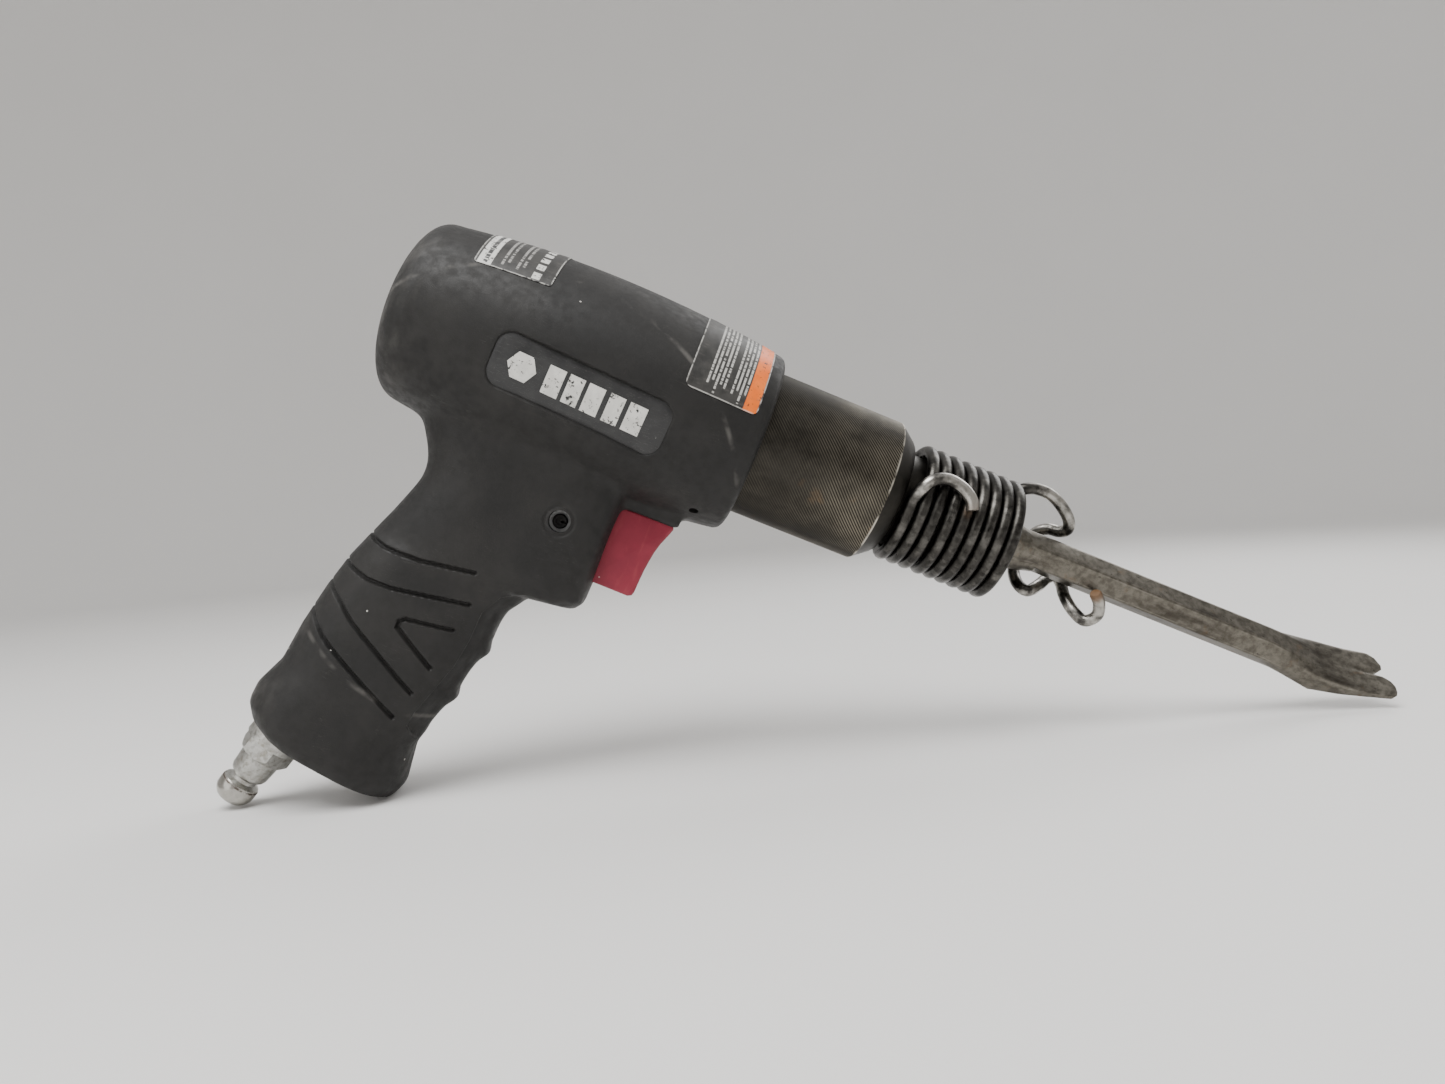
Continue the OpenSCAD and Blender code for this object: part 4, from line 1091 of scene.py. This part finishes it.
def warningPrint(length, arc):
    material, tree, shader, parts, coords, haze, colour = printedFilm("warningPrint", length, arc)
    chips = patchMask(tree, coords, 0.8, 4, 0.66, 0.60, 0.7)
    for first, count, seed in ((5.2, 5, 5), (12.8, 4, 6)):
        lines = times(tree, printLines(tree, parts, first, 1.28, count, 0.5, 3.2, arc - 3.2, seed), chips)
        colour = tinted(tree, colour, lines, 0.85, (0.50, 0.49, 0.46))
    band = bandMask(tree, parts[0], 18.0, length - 0.4)
    orange = mixColour(tree, rampBetween(tree, haze, 0.3, 0.7), (0.76, 0.14, 0.010), (0.84, 0.18, 0.018))
    colour = mixColour(tree, times(tree, band, chips), colour, orange)
    closeFilm(tree, shader, colour, coords, haze, parts, length, arc)
    return material


def makeFilm(name, maker):
    film = films[name]
    length, half = film["to"] - film["from"], math.radians(film["half"])
    arc = 2 * half * 31
    bm = roundedGrid(length, arc, film["corner"], 24, 80)
    uvLayer = bm.loops.layers.uv.new("film")
    for face in bm.faces:
        for loop in face.loops:
            loop[uvLayer].uv = (loop.vert.co.x / length + 0.5, loop.vert.co.y / arc + 0.5)
    for vert in bm.verts:
        x = film["from"] + vert.co.x + length / 2
        angle = vert.co.y / arc * 2 * half
        # the film stands a little off the boot and is faintly wrinkled
        lift = 0.05 * math.sin(x * 1.9 + angle * 7) * math.sin(angle * 11) + 0.22
        r = bellyRadius(x) + lift
        vert.co = (x, r * math.sin(angle), r * math.cos(angle) - boot["sag"])
    return finishPiece(finishFilm(bm, 0.13), name, "root", maker(length, arc), [film["node"]], 60)


# Small and inner parts keep their CAD shapes and get their own finishes

def innerTone(base, light, stained, roughLow, roughHigh, mottle, bump, **more):
    return {"base": base, "light": light, "stained": stained, "roughLow": roughLow, "roughHigh": roughHigh,
            "mottle": mottle, "bump": bump, **more}


innerTones = {
    "castAluminium": innerTone((0.36, 0.365, 0.37), (0.5, 0.5, 0.51), (0.24, 0.235, 0.22), 0.42, 0.62, 0.8, 0.00008, markStretch=(1, 1, 1)),
    "groundSteel": innerTone((0.46, 0.46, 0.465), (0.56, 0.56, 0.56), (0.34, 0.32, 0.28), 0.16, 0.3, 0.3, 0.00001, markStretch=(6, 0.3, 0.3)),
    "turnedSteel": innerTone((0.34, 0.34, 0.345), (0.46, 0.46, 0.46), (0.24, 0.22, 0.19), 0.26, 0.42, 0.3, 0.00003, markStretch=(5, 0.4, 0.4)),
    "pinSteel": innerTone((0.018, 0.018, 0.018), (0.04, 0.039, 0.038), (0.03, 0.027, 0.024), 0.5, 0.7, 0.7, 0.00003),
    "coilWire": innerTone((0.2, 0.2, 0.2), (0.34, 0.34, 0.34), (0.12, 0.11, 0.1), 0.25, 0.4, 0.7, 0.00002),
    "blackOxide": innerTone((0.035, 0.034, 0.034), (0.07, 0.068, 0.065), (0.03, 0.022, 0.015), 0.35, 0.55, 0.9, 0.00003),
    "turnedBrass": innerTone((0.56, 0.4, 0.16), (0.68, 0.51, 0.23), (0.34, 0.22, 0.09), 0.22, 0.4, 0.35, 0.00002, markStretch=(5, 0.4, 0.4)),
    "sealRubber": innerTone((0.012, 0.012, 0.012), (0.026, 0.025, 0.024), (0.05, 0.045, 0.035), 0.35, 0.55, 0.6, 0.00003, metallic=0.0),
    "screenWire": innerTone((0.32, 0.3, 0.25), (0.46, 0.44, 0.38), (0.2, 0.16, 0.1), 0.3, 0.5, 0.6, 0.00006),
    "mufflerFelt": innerTone((0.24, 0.225, 0.19), (0.36, 0.34, 0.29), (0.09, 0.075, 0.05), 0.8, 0.95, 0.35, 0.0003,
                             metallic=0.0, markStretch=(2, 2, 2))}
innerNodes = {
    "castAluminium": ["housing"], "groundSteel": ["piston", "chisel_bushing", "throttle_stem", "cycle_valve", "valve_dowel"],
    "turnedSteel": ["valve_block", "valve_cover", "exhaust_diffuser"], "blackOxide": ["barrel_lock_screw"],
    "turnedBrass": ["throttle_bushing"], "sealRubber": ["barrel_seal", "bushing_seal", "throttle_seal", "rear_bumper"],
    "screenWire": ["inlet_screen"], "mufflerFelt": ["muffler_pad"]}


def finishInside(zinc):
    for name, nodes in innerNodes.items():
        material = plainFinish(name, innerTones[name])
        for node in nodes:
            mesh = frame["nodes"][node].data
            mesh.materials.clear()
            mesh.materials.append(material)
    mesh = frame["nodes"]["inlet_bushing"].data
    mesh.materials.clear()
    mesh.materials.append(zinc)
    print("inner parts finished")


# Floor, light and camera

studio = {"floor": (0.76, 0.75, 0.735), "world": (0.80, 0.79, 0.78), "worldStrength": 0.86,
          "flat": 1.3, "bendRadius": 0.7, "top": 1.3,
          "key": {"place": (-0.25, -0.35, 0.95), "aim": (0, 0, 0.05), "size": 0.8, "power": 13},
          "fill": {"place": (-0.7, -0.6, 0.35), "aim": (0, 0, 0.08), "size": 0.8, "power": 2.2},
          "rim": {"place": (0.55, 0.45, 0.6), "aim": (0, 0, 0.08), "size": 0.6, "power": 3.5}}
view = {"place": (-28.04, -338.55, -32.79), "right": (0.92644, -0.08594, 0.36650), "down": (0.36493, -0.03385, -0.93042),
        "lens": 27.03, "sensor": 36}


def makeFloor():
    # a round floor that bends up far from the tool
    flat, radius = studio["flat"], studio["bendRadius"]
    line = [(0, 0), (flat / 2, 0)]
    line += [(flat + radius * math.sin(a), radius * (1 - math.cos(a))) for a in np.linspace(0, math.pi / 2, 17)]
    line.append((flat + radius, studio["top"]))
    bm = bmesh.new()
    verts = [bm.verts.new((y, 0, z + cadBox[0].z - 0.0002)) for y, z in line]
    edges = [bm.edges.new(pair) for pair in zip(verts, verts[1:])]
    bmesh.ops.spin(bm, geom=verts + edges, axis=(0, 0, 1), cent=(0, 0, 0), angle=math.tau, steps=96, use_merge=True)
    bmesh.ops.remove_doubles(bm, verts=bm.verts, dist=1e-5)
    bmesh.ops.recalc_face_normals(bm, faces=bm.faces)
    bm.normal_update()
    if sum(f.normal.z for f in bm.faces) < 0:
        bmesh.ops.reverse_faces(bm, faces=bm.faces)
    floor = looseObject(bm, "floor")
    floor.data.shade_smooth()
    material, tree, shader = newMaterial("paleFloor")
    coords = addNode(tree, "TexCoord").outputs["Object"]
    cloud = noiseValue(tree, coords, 3, 4)
    tree.links.new(mixColour(tree, cloud, studio["floor"], tuple(c * 0.94 for c in studio["floor"])), shader.inputs["Base Color"])
    shader.inputs["Roughness"].default_value = 0.6
    shader.inputs["Specular IOR Level"].default_value = 0.25
    addBump(tree, shader, noiseValue(tree, stretched(tree, coords, (1, 12, 1)), 30, 4), 0.0002, 0.3)
    floor.data.materials.append(material)


def makeLights():
    world = bpy.data.worlds.new("paleRoom")
    world.use_nodes = True
    world.node_tree.nodes["Background"].inputs["Color"].default_value = (*studio["world"], 1)
    world.node_tree.nodes["Background"].inputs["Strength"].default_value = studio["worldStrength"]
    bpy.context.scene.world = world
    for name in ("key", "fill", "rim"):
        lamp = bpy.data.lights.new(name, "AREA")
        lamp.shape = "DISK"
        lamp.size = studio[name]["size"]
        lamp.energy = studio[name]["power"]
        made = bpy.data.objects.new(name, lamp)
        place = Vector(studio[name]["place"])
        made.matrix_world = Matrix.Translation(place) @ (Vector(studio[name]["aim"]) - place).to_track_quat("-Z", "Y").to_matrix().to_4x4()
        bpy.context.scene.collection.objects.link(made)


def makeCamera():
    lens = bpy.data.cameras.new("view")
    lens.lens, lens.sensor_width, lens.sensor_fit, lens.clip_start = view["lens"], view["sensor"], "HORIZONTAL", 0.01
    camera = bpy.data.objects.new("view", lens)
    right, down = Vector(view["right"]).normalized(), Vector(view["down"]).normalized()
    back = right.cross(-down)
    turn = Matrix((right, -down, back)).transposed().to_4x4()
    camera.matrix_world = Matrix.Translation(toolPlace @ Vector(view["place"])) @ toolTurn @ turn
    bpy.context.scene.collection.objects.link(camera)
    bpy.context.scene.camera = camera


makeCamera()
makeLights()
makeFloor()
makeBoot()
makeBarrel()
makeRetainer()
makeChisel()
makeTrigger()
makePlug()
badgeFinishes = badgeGloss(), badgePaint()
makeBadge(-1, *badgeFinishes)
makeBadge(1, *badgeFinishes)
makeFilm("dataLabel", dataPrint)
makeFilm("warningLabel", warningPrint)
finishInside(bpy.data.materials["zincPlate"])
makePin()
makeThrottleCoil()
